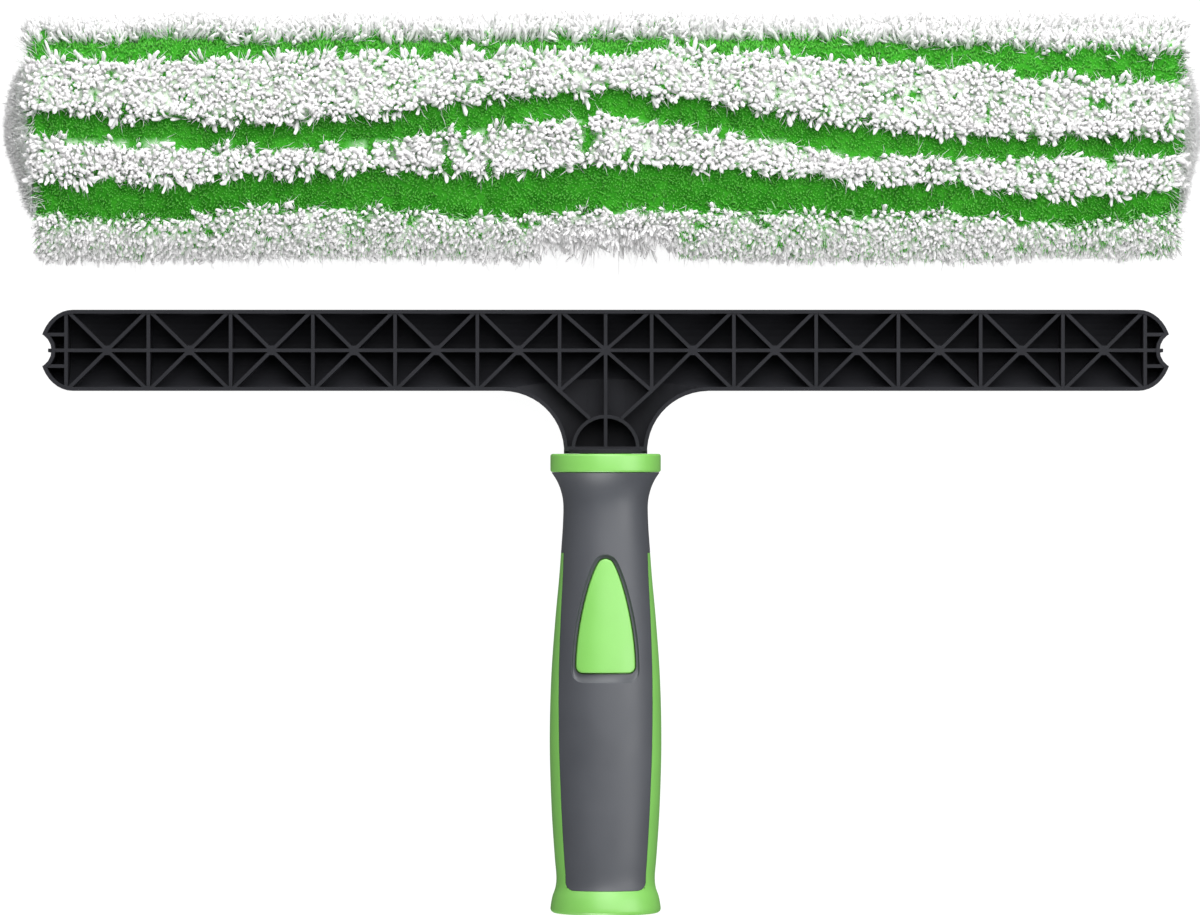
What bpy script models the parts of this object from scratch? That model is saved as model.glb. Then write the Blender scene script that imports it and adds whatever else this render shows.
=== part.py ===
"""Window washer: a ribbed T-bar on a soft-grip handle, and the microfibre sleeve that goes over it.

Both lie on a table at z = 0. The bar runs along X and the handle along -Y. The sleeve lies beside the
bar on its +Y side, with its mouth towards the bar, and it slides along -Y onto the bar. Lengths are in
metres. A place "down" the handle is its distance from the bar's centre line, towards -Y. Places on the
sleeve are measured from the sleeve's own centre line.
"""
import math

import bmesh
import bpy
from mathutils import Vector

MM = 0.001

# T-bar head
BAR_HALF_LENGTH = 175.0 * MM
BAR_HALF_WIDTH = 12.6 * MM
BAR_DEPTH = 14.0 * MM
END_REACH = 9.5 * MM  # the half-elliptical ends reach this far beyond the straight edges
END_BULGE = 0.8 * MM  # by which the ellipse of the ends is longer than that
BITE_RADIUS = 5.7 * MM  # round notch between the two horns of each end
BITE_CENTRE_X = 177.8 * MM
TOOTH_TIP_X = 173.2 * MM
WALL = 1.2 * MM
RIM_WIDTH = 0.8 * MM
TROUGH_DEPTH = 12.0 * MM
RIB = 1.1 * MM
RIB_TOP_GAP = 0.25 * MM  # the ribs stop this far below the rim
BOSS_RADIUS = 1.7 * MM
CENTRE_CELL_HALF = 14.3 * MM
CELL = 25.55 * MM
CELLS_PER_SIDE = 6
END_RIB_Y = 4.9 * MM
NECK_HALF_WIDTH = 12.9 * MM
NECK_FILLET = 19.0 * MM
NECK_TROUGH_HALF = 30.0 * MM  # half width of the hollow's section where the neck meets the bar
NECK_BACK_HALF = 32.0 * MM  # and of the neck's back
NECK_TROUGH_DEPTH = 8.0 * MM
NECK_BACK_DEPTH = 19.5 * MM
NECK_SWELL = 4.0 * MM  # length of the slope that widens the neck's back to the flange
NECK_JOIN = (4.9 * MM, 21.2 * MM)  # where a slanting neck rib meets the arc rib: across, down
ARC_RIB_RADIUS = 10.6 * MM
FLANGE_DOWN = 30.6 * MM
FLANGE_THICK = 1.5 * MM
FLANGE_RADIUS = 13.0 * MM
TANG_RADIUS = 8.0 * MM
TANG_END = 60.0 * MM
TANG_CHAMFER = 1.5 * MM
TANG_CLEARANCE = 1.5 * MM  # left free beyond the tang's end

# Handle. The silhouette, in millimetres down and half width, runs on from the grip over the base flare.
SILHOUETTE = (
    (37.9, 16.9), (40.3, 15.3), (43.4, 14.0), (47.5, 13.2), (54.0, 13.3), (61.5, 13.8), (71.0, 14.5),
    (84.0, 15.7), (102.0, 16.95), (122.0, 17.4), (142.0, 16.85), (157.0, 15.9), (163.5, 15.35),
    (167.0, 15.6), (170.0, 16.6), (173.4, 17.2),
)
HANDLE_END = 175.0 * MM
BASE_EDGE = 1.4 * MM
GRIP_TOP = 37.9 * MM
GRIP_SPLIT = 62.9 * MM  # here the ring of soft plastic divides into a front and a back panel
GRIP_BOTTOM = 167.2 * MM
GRIP_THICK = 3.0 * MM
GRIP_FLATTER = 0.05  # the handle's middle is thinner from front to back by this share
COLLAR_TOP = 32.4 * MM
COLLAR_BOTTOM = 37.6 * MM
COLLAR_RADIUS = 17.2 * MM
COLLAR_EDGE = 0.7 * MM
CORE_NECK_RADIUS = 10.6 * MM
PANEL_WIDEST = 0.92  # the panel's half width where it begins, as a share of the handle's
PANEL_NARROWEST = 0.79  # and at its lower end
PANEL_CORNER = 2.5 * MM
INLAY_TIP = 64.7 * MM
INLAY_BOTTOM = 99.95 * MM
INLAY_HALF_WIDTH = 9.1 * MM
INLAY_CORNER = 2.0 * MM
INLAY_NOSE = 0.8 * MM  # length of its rounded tip
INLAY_SUNK = 0.3 * MM
WINDOW_RIM = 0.9 * MM
SOCKET_MOUTH_RADIUS = 11.2 * MM
SOCKET_END_RADIUS = 10.5 * MM
SOCKET_DEPTH = 60.0 * MM
SOCKET_CHAMFER = (1.0 * MM, 0.6 * MM)  # along the socket and across it
CORE_BORE_RADIUS = 8.0 * MM
CORE_WEB = 3.0 * MM
PIN_DOWN = 50.0 * MM
PIN_RADIUS = 1.5 * MM
PIN_HALF_LENGTH = 9.7 * MM
HANDLE_SEGMENTS = 36

# Sleeve, as it lies
SLEEVE_AHEAD = 65.5 * MM  # from the bar's centre line to the sleeve's
PILE_HALF_WIDTH = 38.6 * MM
PILE_HALF_LENGTH = 180.0 * MM
OUTLINE_POWER = 2.6  # of the superellipse round the pile
OUTLINE_CENTRE_Z = 19.5 * MM
OUTLINE_RISE = 20.5 * MM
GREEN_SHARE = 0.33  # height of the green pile, as a share of the white pile's
CLOTH = 1.2 * MM
CAVITY_LOW = 7.6 * MM
CAVITY_HIGH = 26.0 * MM
FOLD_CENTRE = 13.5 * MM  # the flat sides of the backing end here, and its rounded fold begins
LIP_EDGE = -23.0 * MM
TUBE_HALF_LENGTH = 177.6 * MM
END_PANEL_THICK = 2.0 * MM
END_PANEL_DOME = 3.2 * MM
BINDING = 0.6 * MM
BINDING_FAR = -21.0 * MM  # the binding reaches this far in from the lip's edge
MOUTH_LOW = 8.2 * MM
MOUTH_HIGH = 25.2 * MM
MOUTH_TIP_UPPER = -38.0 * MM
MOUTH_TIP_LOWER = -34.0 * MM
NECK_NOTCH = 19.0 * MM  # half the width of the gap that leaves room for the neck and the collar
NOTCH_UPPER = -27.8 * MM
NOTCH_LOWER = -24.6 * MM
STRIP_THICK = 0.9 * MM
STRIP_ENDS = (24.0 * MM, 165.0 * MM)
STRIP_EDGES = (-20.0 * MM, -12.0 * MM)
# The bands of pile round the tube, from border to border. A border is given by its place across the
# sleeve, on the upper side first and then back along the lower side.
UPPER_BANDS = (
    ("green_upper_mouth", -22.8, -12.6), ("pile_upper_middle", -12.6, 1.6),
    ("green_upper_middle", 1.6, 6.8), ("pile_upper_back", 6.8, 26.0),
    ("green_upper_back", 26.0, 30.6), ("pile_fold_upper", 30.6, 38.6),
)
LOWER_BANDS = (
    ("pile_fold_lower", 38.6, 24.5), ("green_lower_back", 24.5, 17.5),
    ("pile_lower_back", 17.5, -1.5), ("green_lower_mouth", -1.5, -8.5),
)

# Whole object
GAP = 0.3 * MM
OVERSHOOT = 2.0 * MM  # cutters run this far past the faces they cut
AXIS_Z = COLLAR_RADIUS
RIM_Z = AXIS_Z + 6.5 * MM
BAR_Y = (HANDLE_END - SLEEVE_AHEAD - PILE_HALF_WIDTH) / 2
SLEEVE_Y = BAR_Y + SLEEVE_AHEAD


def clear_scene():
    for item in list(bpy.data.objects):
        bpy.data.objects.remove(item, do_unlink=True)


def material(name, colour, roughness, metallic=0.0):
    made = bpy.data.materials.new(name)
    made.use_nodes = True
    shader = made.node_tree.nodes["Principled BSDF"]
    shader.inputs["Base Color"].default_value = (*colour, 1.0)
    shader.inputs["Roughness"].default_value = roughness
    shader.inputs["Metallic"].default_value = metallic
    return made


def add_object(name, shape, paint=None, parent=None):
    """Turns a bmesh into a named object. Without a paint it is a helper that is never shown."""
    bmesh.ops.recalc_face_normals(shape, faces=shape.faces)
    mesh = bpy.data.meshes.new(name)
    shape.to_mesh(mesh)
    shape.free()
    made = bpy.data.objects.new(name, mesh)
    bpy.context.scene.collection.objects.link(made)
    made.parent = parent
    if paint is None:
        made.hide_render = True
        made.display_type = "WIRE"
    else:
        mesh.materials.append(paint)
        mesh.shade_smooth()
        mesh.set_sharp_from_angle(angle=math.radians(35.0))
    return made


def boolean(target, other, operation, overlapping=False):
    step = target.modifiers.new(f"{operation.lower()} {other.name}", "BOOLEAN")
    step.operation = operation
    step.object = other
    step.solver = "EXACT"
    step.use_self = overlapping


# ---------------------------------------------------------------- outlines and simple solids

def arc(centre, radii, start, end, steps):
    """Points of an elliptical arc, with its angles in degrees, both ends included."""
    points = []
    for i in range(steps + 1):
        angle = math.radians(start + (end - start) * i / steps)
        points.append((centre[0] + radii[0] * math.cos(angle), centre[1] + radii[1] * math.sin(angle)))
    return points


def both_sides(right):
    """An outline from its right half, which runs from the +Y end to the -Y end."""
    return right + [(-x, y) for x, y in reversed(right)]


def extruded(shape, points, direction):
    """Adds the solid that a flat polygon sweeps along a direction."""
    face = shape.faces.new([shape.verts.new(point) for point in points])
    result = bmesh.ops.extrude_face_region(shape, geom=[face])
    moved = [item for item in result["geom"] if isinstance(item, bmesh.types.BMVert)]
    bmesh.ops.translate(shape, verts=moved, vec=direction)


def plan_prism(outline, low, high):
    """A solid with vertical sides over an outline in X and Y."""
    shape = bmesh.new()
    extruded(shape, [(x, y, low) for x, y in outline], (0, 0, high - low))
    return shape


def along_x(section, start, end):
    """A solid that has the same section in Y and Z all along X."""
    shape = bmesh.new()
    extruded(shape, [(start, y, z) for y, z in section], (end - start, 0, 0))
    return shape


def block(shape, low, high):
    corners = [(low[0], low[1]), (high[0], low[1]), (high[0], high[1]), (low[0], high[1])]
    extruded(shape, [(x, y, low[2]) for x, y in corners], (0, 0, high[2] - low[2]))


def post(shape, centre, radius, low, high, sides):
    """An upright prism at a place on the bar."""
    ring = arc(centre, (radius, radius), 0, 360, sides)[:-1]
    extruded(shape, [(x, BAR_Y + y, low) for x, y in ring], (0, 0, high - low))


def lofted(rings):
    """A closed solid through rings that have the same number of points."""
    shape = bmesh.new()
    loops = [[shape.verts.new(point) for point in ring] for ring in rings]
    for loop, following in zip(loops, loops[1:]):
        for i in range(len(loop)):
            j = (i + 1) % len(loop)
            shape.faces.new((loop[i], loop[j], following[j], following[i]))
    shape.faces.new(loops[0])
    shape.faces.new(loops[-1])
    return shape


def smooth_points(points, steps):
    """The given points with more between them, on a curve through them all."""
    made = []
    last = len(points) - 1
    for i in range(last):
        near = [points[min(max(i + k, 0), last)] for k in (-1, 0, 1, 2)]
        for j in range(steps):
            t = j / steps
            weights = (
                (2 * t**2 - t - t**3) / 2, (2 - 5 * t**2 + 3 * t**3) / 2,
                (t + 4 * t**2 - 3 * t**3) / 2, (t**3 - t**2) / 2,
            )
            made.append([sum(w * point[axis] for w, point in zip(weights, near)) for axis in (0, 1)])
    made.append(list(points[-1]))
    return made


# ---------------------------------------------------------------- T-bar head

def head_outline(inset):
    """The head in plan, without the notches in its ends: bar, rounded ends, fillets and neck."""
    half = BAR_HALF_WIDTH - inset
    straight = BAR_HALF_LENGTH - END_REACH
    fillet_centre = (NECK_HALF_WIDTH + NECK_FILLET, -BAR_HALF_WIDTH - NECK_FILLET)
    fillet = NECK_FILLET + inset
    right = arc((straight, 0.0), (END_REACH + END_BULGE - inset, half), 90, -90, 20)
    right += arc(fillet_centre, (fillet, fillet), 90, 176, 12)
    right.append((NECK_HALF_WIDTH - inset, 1.2 * inset - FLANGE_DOWN - FLANGE_THICK / 2))
    return [(x, BAR_Y + y) for x, y in both_sides(right)]


def half_ellipse(half_width, depth, top):
    """A trough's section below the rim, carried on upwards to a given height."""
    points = arc((0.0, RIM_Z), (half_width, depth), 180, 360, 16)
    return points + [(half_width, top), (-half_width, top)]


def bar_form(name, half_width, depth, top):
    section = [(BAR_Y + y, z) for y, z in half_ellipse(half_width, depth, top)]
    reach = BAR_HALF_LENGTH + OVERSHOOT
    return add_object(name, along_x(section, -reach, reach))


def neck_form(name, half_width, depth, top):
    shape = bmesh.new()
    start = BAR_Y - FLANGE_DOWN - OVERSHOOT
    section = [(x, start, z) for x, z in half_ellipse(half_width, depth, top)]
    extruded(shape, section, (0, BAR_Y - BAR_HALF_WIDTH / 2 - start, 0))
    return add_object(name, shape)


def neck_side_limit():
    """Seen from the side, the neck is as deep as the bar until it swells to meet the flange."""
    deep = AXIS_Z - FLANGE_RADIUS + 2 * GAP
    back = RIM_Z - BAR_DEPTH
    top = RIM_Z + 4 * OVERSHOOT
    end = BAR_Y - FLANGE_DOWN - 2 * OVERSHOOT
    side = [
        (BAR_Y, back), (BAR_Y - FLANGE_DOWN + NECK_SWELL, back), (BAR_Y - FLANGE_DOWN, deep),
        (end, deep), (end, top), (BAR_Y, top),
    ]
    return add_object("guide_neck_side", along_x(side, -2 * NECK_FILLET, 2 * NECK_FILLET))


def rib_wall(shape, start, end):
    """A straight rib between two places on the bar, reaching below the trough's floor."""
    start = Vector(start)
    end = Vector(end)
    side = (end - start).orthogonal().normalized() * RIB / 2
    low = RIM_Z - BAR_DEPTH - OVERSHOOT
    plan = [start + side, end + side, end - side, start - side]
    extruded(shape, [(p.x, BAR_Y + p.y, low) for p in plan], (0, 0, RIM_Z - RIB_TOP_GAP - low))


def bar_ribs():
    """The ribs and bosses of the trough, still as overlapping blocks."""
    shape = bmesh.new()
    edge = BAR_HALF_WIDTH
    low = RIM_Z - BAR_DEPTH - OVERSHOOT
    top = RIM_Z - RIB_TOP_GAP
    uprights = [CENTRE_CELL_HALF + CELL * i for i in range(CELLS_PER_SIDE + 1)]
    rib_wall(shape, (-BAR_HALF_LENGTH, 0), (BAR_HALF_LENGTH, 0))
    rib_wall(shape, (0, edge), (0, -FLANGE_DOWN))
    post(shape, (0, 0), BOSS_RADIUS, low, top, 6)
    for side in (-1, 1):
        rib_wall(shape, (0, 0), (side * uprights[0], edge))
        rib_wall(shape, (0, 0), (side * uprights[0], -edge))
        rib_wall(shape, (side * uprights[0], -edge), (side * NECK_JOIN[0], -NECK_JOIN[1]))
        for place in uprights:
            rib_wall(shape, (side * place, edge), (side * place, -edge))
        for near, far in zip(uprights, uprights[1:]):
            rib_wall(shape, (side * near, edge), (side * far, -edge))
            rib_wall(shape, (side * near, -edge), (side * far, edge))
            post(shape, (side * (near + far) / 2, 0), BOSS_RADIUS, low, top, 6)
        for height in (-END_RIB_Y, END_RIB_Y):
            rib_wall(shape, (side * uprights[-1], height), (side * BAR_HALF_LENGTH, height))
    outer = arc((0.0, -FLANGE_DOWN), (ARC_RIB_RADIUS, ARC_RIB_RADIUS), 0, 180, 16)
    inner = arc((0.0, -FLANGE_DOWN), (ARC_RIB_RADIUS - RIB, ARC_RIB_RADIUS - RIB), 180, 0, 16)
    extruded(shape, [(x, BAR_Y + y, low) for x, y in outer + inner], (0, 0, top - low))
    return add_object("guide_ribs", shape)


def end_notches(name, radius):
    shape = bmesh.new()
    for side in (-1, 1):
        post(shape, (side * BITE_CENTRE_X, 0), radius, RIM_Z - 2 * BAR_DEPTH, RIM_Z + BAR_DEPTH, 20)
    return add_object(name, shape)


def end_teeth():
    """The middle rib ends as a small tooth in each notch."""
    shape = bmesh.new()
    for side in (-1, 1):
        near, far = sorted((side * (BAR_HALF_LENGTH - 5 * WALL), side * TOOTH_TIP_X))
        low = (near, BAR_Y - RIB / 2, RIM_Z - BAR_DEPTH + 2 * WALL)
        block(shape, low, (far, BAR_Y + RIB / 2, RIM_Z - 2 * RIB_TOP_GAP))
    return add_object("guide_teeth", shape)


def head_trough():
    """What is hollow in the head: a trough that the ribs stand in, with a deeper pocket in the neck."""
    top = RIM_Z + OVERSHOOT
    form = bar_form("guide_trough_form", BAR_HALF_WIDTH - RIM_WIDTH, TROUGH_DEPTH, top + GAP)
    neck = neck_form("guide_trough_neck", NECK_TROUGH_HALF, NECK_TROUGH_DEPTH, top + 2 * GAP)
    boolean(form, neck, "UNION")
    pocket = bmesh.new()
    radius = ARC_RIB_RADIUS - RIB / 2
    post(pocket, (0, -FLANGE_DOWN), radius, RIM_Z - TROUGH_DEPTH, top + 3 * GAP, 32)
    boolean(form, add_object("guide_pocket", pocket), "UNION")
    trough = add_object("guide_trough", plan_prism(head_outline(WALL), 0, top))
    boolean(trough, end_notches("guide_wide_notches", BITE_RADIUS + WALL), "DIFFERENCE")
    boolean(trough, form, "INTERSECT")
    boolean(trough, bar_ribs(), "DIFFERENCE", overlapping=True)
    return trough


def pin_shape(name, radius, half_length, paint=None):
    shape = bmesh.new()
    ring = arc((BAR_Y - PIN_DOWN, AXIS_Z), (radius, radius), 0, 360, 16)[:-1]
    extruded(shape, [(-half_length, y, z) for y, z in ring], (2 * half_length, 0, 0))
    return add_object(name, shape, paint)


def make_head(paint):
    outer = bar_form("guide_outer_form", BAR_HALF_WIDTH, BAR_DEPTH, RIM_Z + OVERSHOOT)
    neck = neck_form("guide_outer_neck", NECK_BACK_HALF, NECK_BACK_DEPTH, RIM_Z + 2 * OVERSHOOT)
    boolean(neck, neck_side_limit(), "INTERSECT")
    boolean(outer, neck, "UNION")
    head = add_object("t_bar_head", plan_prism(head_outline(0.0), 0, RIM_Z), paint)
    boolean(head, outer, "INTERSECT")
    boolean(head, head_trough(), "DIFFERENCE")
    boolean(head, end_notches("guide_notches", BITE_RADIUS), "DIFFERENCE")
    boolean(head, end_teeth(), "UNION")
    flange_end = FLANGE_DOWN + FLANGE_THICK
    plug = turned([
        (FLANGE_DOWN, FLANGE_RADIUS - GAP), (FLANGE_DOWN + GAP, FLANGE_RADIUS),
        (flange_end, FLANGE_RADIUS), (flange_end, TANG_RADIUS),
        (TANG_END - TANG_CHAMFER, TANG_RADIUS), (TANG_END, TANG_RADIUS - TANG_CHAMFER),
    ])
    boolean(head, add_object("guide_plug", plug), "UNION")
    pin_hole = pin_shape("guide_pin_hole", PIN_RADIUS + GAP, TANG_RADIUS + OVERSHOOT)
    boolean(head, pin_hole, "DIFFERENCE")


# ---------------------------------------------------------------- handle

def depth_share(down):
    """Half depth over half width of the handle: 1 at its ends and least in its middle."""
    share = (down - GRIP_TOP) / (HANDLE_END - GRIP_TOP)
    return 1.0 - GRIP_FLATTER * math.sin(math.pi * min(max(share, 0.0), 1.0))


def turned(profile, oval=False):
    """A solid round the handle's axis, from pairs of distance down and radius, closed at both ends."""
    rings = []
    for down, radius in profile:
        depth = radius * depth_share(down) if oval else radius
        ring = arc((0.0, AXIS_Z), (radius, depth), 0, 360, HANDLE_SEGMENTS)[:-1]
        rings.append([(x, BAR_Y - down, z) for x, z in ring])
    return lofted(rings)


def radius_at(down):
    points = smooth_points(SILHOUETTE, 2)
    down = down / MM
    for (start, first), (end, second) in zip(points, points[1:]):
        if down <= end:
            return (first + (second - first) * (down - start) / (end - start)) * MM
    return points[-1][1] * MM


def profile_between(top, bottom, offset=0.0):
    """The handle's silhouette between two distances down, moved outwards by an offset."""
    downs = [down * MM for down, radius in smooth_points(SILHOUETTE, 2)]
    kept = [top] + [down for down in downs if top + MM / 2 < down < bottom - MM / 2] + [bottom]
    return [(down, radius_at(down) + offset) for down in kept]


def core_profile(offset=0.0):
    """The surface under the soft plastic, with a straight neck for the collar above it."""
    neck = CORE_NECK_RADIUS + offset
    below = profile_between(GRIP_TOP + OVERSHOOT, GRIP_BOTTOM + 2 * OVERSHOOT, offset - GRIP_THICK)
    return [(COLLAR_TOP - OVERSHOOT, neck), (GRIP_TOP, neck)] + below


def panel_outline(margin):
    """The soft plastic in plan: a full ring above, and below it a panel with rounded lower corners."""
    wide = COLLAR_RADIUS + 2 * OVERSHOOT
    bottom = GRIP_BOTTOM + margin
    right = [(wide, BAR_Y - COLLAR_TOP + OVERSHOOT), (wide, BAR_Y - GRIP_SPLIT)]
    steps = 14
    for i in range(steps + 1):
        share = i / steps
        down = GRIP_SPLIT + (bottom - PANEL_CORNER - GRIP_SPLIT) * share
        breadth = PANEL_NARROWEST + (PANEL_WIDEST - PANEL_NARROWEST) * (1.0 - share) ** 2
        right.append((radius_at(down) * breadth + margin, BAR_Y - down))
    centre = (right[-1][0] - PANEL_CORNER, right[-1][1])
    right += arc(centre, (PANEL_CORNER, PANEL_CORNER), -20, -90, 4)
    return both_sides(right)


def moved_out(outline, margin):
    """A closed outline moved outwards, each point along its own normal."""
    made = []
    for i, (x, y) in enumerate(outline):
        before, after = outline[i - 1], outline[(i + 1) % len(outline)]
        across, along = after[0] - before[0], after[1] - before[1]
        length = math.hypot(across, along)
        made.append((x - margin * along / length, y + margin * across / length))
    return made


def inlay_outline(margin):
    """An arch with a rounded tip, a flat lower edge and rounded corners."""
    corner = INLAY_CORNER
    length = INLAY_BOTTOM - corner - INLAY_TIP
    steps = 10
    right = []
    for i in range(1, steps + 1):
        share = (i / steps) ** 2
        swing = math.sin(math.pi / 2 * (0.06 + 0.4 * math.sqrt(share) + 0.46 * share + 0.08 * share**4))
        blunt = max(1.0 - length * share / INLAY_NOSE, 0.0)
        across = INLAY_HALF_WIDTH * swing * math.sqrt(1.0 - blunt**2)
        right.append((across, BAR_Y - INLAY_TIP - length * share))
    centre = (INLAY_HALF_WIDTH - corner, BAR_Y - INLAY_BOTTOM + corner)
    right += arc(centre, (corner, corner), -20, -90, 3)
    return moved_out(both_sides(right), margin)


def front_prism(name, outline, paint=None):
    return add_object(name, plan_prism(outline, AXIS_Z, AXIS_Z + 2 * COLLAR_RADIUS), paint)


def make_collar(paint):
    edge = COLLAR_EDGE
    collar = add_object("collar_ring", turned([
        (COLLAR_TOP, COLLAR_RADIUS - edge), (COLLAR_TOP + edge / 3, COLLAR_RADIUS - edge / 3),
        (COLLAR_TOP + edge, COLLAR_RADIUS), (COLLAR_BOTTOM - edge, COLLAR_RADIUS),
        (COLLAR_BOTTOM - edge / 3, COLLAR_RADIUS - edge / 3), (COLLAR_BOTTOM, COLLAR_RADIUS - edge),
    ]), paint)
    radius = CORE_NECK_RADIUS + GAP
    hole = turned([(COLLAR_TOP - OVERSHOOT, radius), (COLLAR_BOTTOM + OVERSHOOT, radius)])
    boolean(collar, add_object("guide_collar_hole", hole), "DIFFERENCE")


def make_grip(paint):
    grip = add_object("grip_overmould", turned(profile_between(GRIP_TOP, GRIP_BOTTOM + MM), oval=True), paint)
    boolean(grip, add_object("guide_grip_inside", turned(core_profile(GAP), oval=True)), "DIFFERENCE")
    panels = plan_prism(panel_outline(0.0), -OVERSHOOT, 3 * COLLAR_RADIUS)
    boolean(grip, add_object("guide_panels", panels), "INTERSECT")
    rim = front_prism("guide_window_rim", inlay_outline(GAP + WINDOW_RIM))
    rim_floor = turned(profile_between(GRIP_TOP, GRIP_BOTTOM, -WINDOW_RIM), oval=True)
    boolean(rim, add_object("guide_rim_floor", rim_floor), "DIFFERENCE")
    boolean(grip, rim, "DIFFERENCE")
    boolean(grip, front_prism("guide_window", inlay_outline(GAP)), "DIFFERENCE")


def make_inlay(paint):
    inlay = front_prism("thumb_inlay", inlay_outline(0.0), paint)
    top = turned(profile_between(GRIP_TOP, GRIP_BOTTOM, -INLAY_SUNK), oval=True)
    boolean(inlay, add_object("guide_inlay_top", top), "INTERSECT")
    boolean(inlay, add_object("guide_inlay_below", turned(core_profile(GAP), oval=True)), "DIFFERENCE")


def make_core(paint):
    """The green moulding: a tube under the grip, the strips beside it and the flared base."""
    foot = HANDLE_END - BASE_EDGE
    edge = arc((foot, radius_at(foot) - BASE_EDGE), (BASE_EDGE, BASE_EDGE), 90, 0, 3)[1:]
    outside = [(COLLAR_TOP + GAP, COLLAR_RADIUS), (GRIP_TOP, COLLAR_RADIUS)]
    outside += profile_between(GRIP_TOP + MM, foot) + edge
    core = add_object("handle_core", turned(outside, oval=True), paint)
    space = add_object("guide_soft_space", plan_prism(panel_outline(GAP), -OVERSHOOT, 3 * COLLAR_RADIUS))
    boolean(space, add_object("guide_core_surface", turned(core_profile(), oval=True)), "DIFFERENCE")
    boolean(core, space, "DIFFERENCE")

    socket_end = HANDLE_END - SOCKET_DEPTH
    chamfer, widening = SOCKET_CHAMFER
    web_end = TANG_END + TANG_CLEARANCE + CORE_WEB
    socket = turned([
        (web_end, CORE_BORE_RADIUS), (socket_end, CORE_BORE_RADIUS), (socket_end, SOCKET_END_RADIUS),
        (HANDLE_END - chamfer, SOCKET_MOUTH_RADIUS), (HANDLE_END, SOCKET_MOUTH_RADIUS + widening),
        (HANDLE_END + OVERSHOOT, SOCKET_MOUTH_RADIUS + widening),
    ])
    boolean(core, add_object("guide_socket", socket), "DIFFERENCE")
    tang_hole = turned([
        (COLLAR_TOP - OVERSHOOT, TANG_RADIUS + GAP), (TANG_END + TANG_CLEARANCE, TANG_RADIUS + GAP),
    ])
    boolean(core, add_object("guide_tang_hole", tang_hole), "DIFFERENCE")
    pin_hole = pin_shape("guide_core_pin_hole", PIN_RADIUS + GAP, COLLAR_RADIUS)
    boolean(core, pin_hole, "DIFFERENCE")


# ---------------------------------------------------------------- sleeve

def outline_angle(place, lower):
    """The superellipse's angle, from the mouth over the top, at a place across the sleeve."""
    share = min(abs(place) / PILE_HALF_WIDTH, 1.0) ** (OUTLINE_POWER / 2)
    angle = math.acos(-math.copysign(share, place))
    return 2 * math.pi - angle if lower else angle


def outline_point(angle):
    """A point of the superellipse that bounds the pile, as (y, z). Its underside ends on the table."""
    across = -math.copysign(abs(math.cos(angle)) ** (2 / OUTLINE_POWER), math.cos(angle))
    rise = math.copysign(abs(math.sin(angle)) ** (2 / OUTLINE_POWER), math.sin(angle))
    height = OUTLINE_RISE if rise > 0 else OUTLINE_CENTRE_Z
    return PILE_HALF_WIDTH * across, OUTLINE_CENTRE_Z + height * rise


def backing_point(point):
    """The nearest place just off the backing's outer surface, clear of the bindings."""
    y, z = point
    y = max(y, BINDING_FAR + 2 * GAP)
    middle = (CAVITY_LOW + CAVITY_HIGH) / 2
    radius = (CAVITY_HIGH - CAVITY_LOW) / 2 + CLOTH + GAP
    if y <= FOLD_CENTRE:
        return y, middle + math.copysign(radius, z - middle)
    length = math.hypot(y - FOLD_CENTRE, z - middle)
    return FOLD_CENTRE + (y - FOLD_CENTRE) * radius / length, middle + (z - middle) * radius / length


def blend_points(first, second, share):
    return tuple(a + (b - a) * share for a, b in zip(first, second))


def band_section(start, end, height_share):
    """The section of a band of pile between two angles of the outline, a gap away from its neighbours."""
    margin = GAP / PILE_HALF_WIDTH
    steps = 5
    angles = [start + margin + (end - start - 2 * margin) * i / steps for i in range(steps + 1)]
    tops = [outline_point(angle) for angle in angles]
    roots = [backing_point(top) for top in tops]
    surface = [blend_points(root, top, height_share) for root, top in zip(roots, tops)]
    return surface + roots[::-1]


def mouth_band_section(tip, border, lower):
    """The section of a band that covers a lip of the mouth and hangs over its edge."""
    cloth = CAVITY_LOW - CLOTH if lower else CAVITY_HIGH + CLOTH
    away = -1 if lower else 1
    inside = MOUTH_LOW if lower else MOUTH_HIGH
    margin = GAP / PILE_HALF_WIDTH * away
    start = outline_angle(tip, lower) + margin
    end = outline_angle(border, lower) - margin
    steps = 7
    tops = [outline_point(start + (end - start) * i / steps) for i in range(steps + 1)]
    off_cloth = cloth + away * GAP
    off_binding = cloth + away * (BINDING + 2 * GAP)
    bound = max(border, BINDING_FAR) + GAP
    edge = LIP_EDGE - BINDING - 2 * GAP
    under = [(bound, off_binding), (edge, off_binding), (edge, inside), (tops[0][0], inside)]
    if border > bound:
        under.insert(0, (bound, off_cloth))
        under.insert(0, (border - GAP, off_cloth))
    return tops + under


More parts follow.
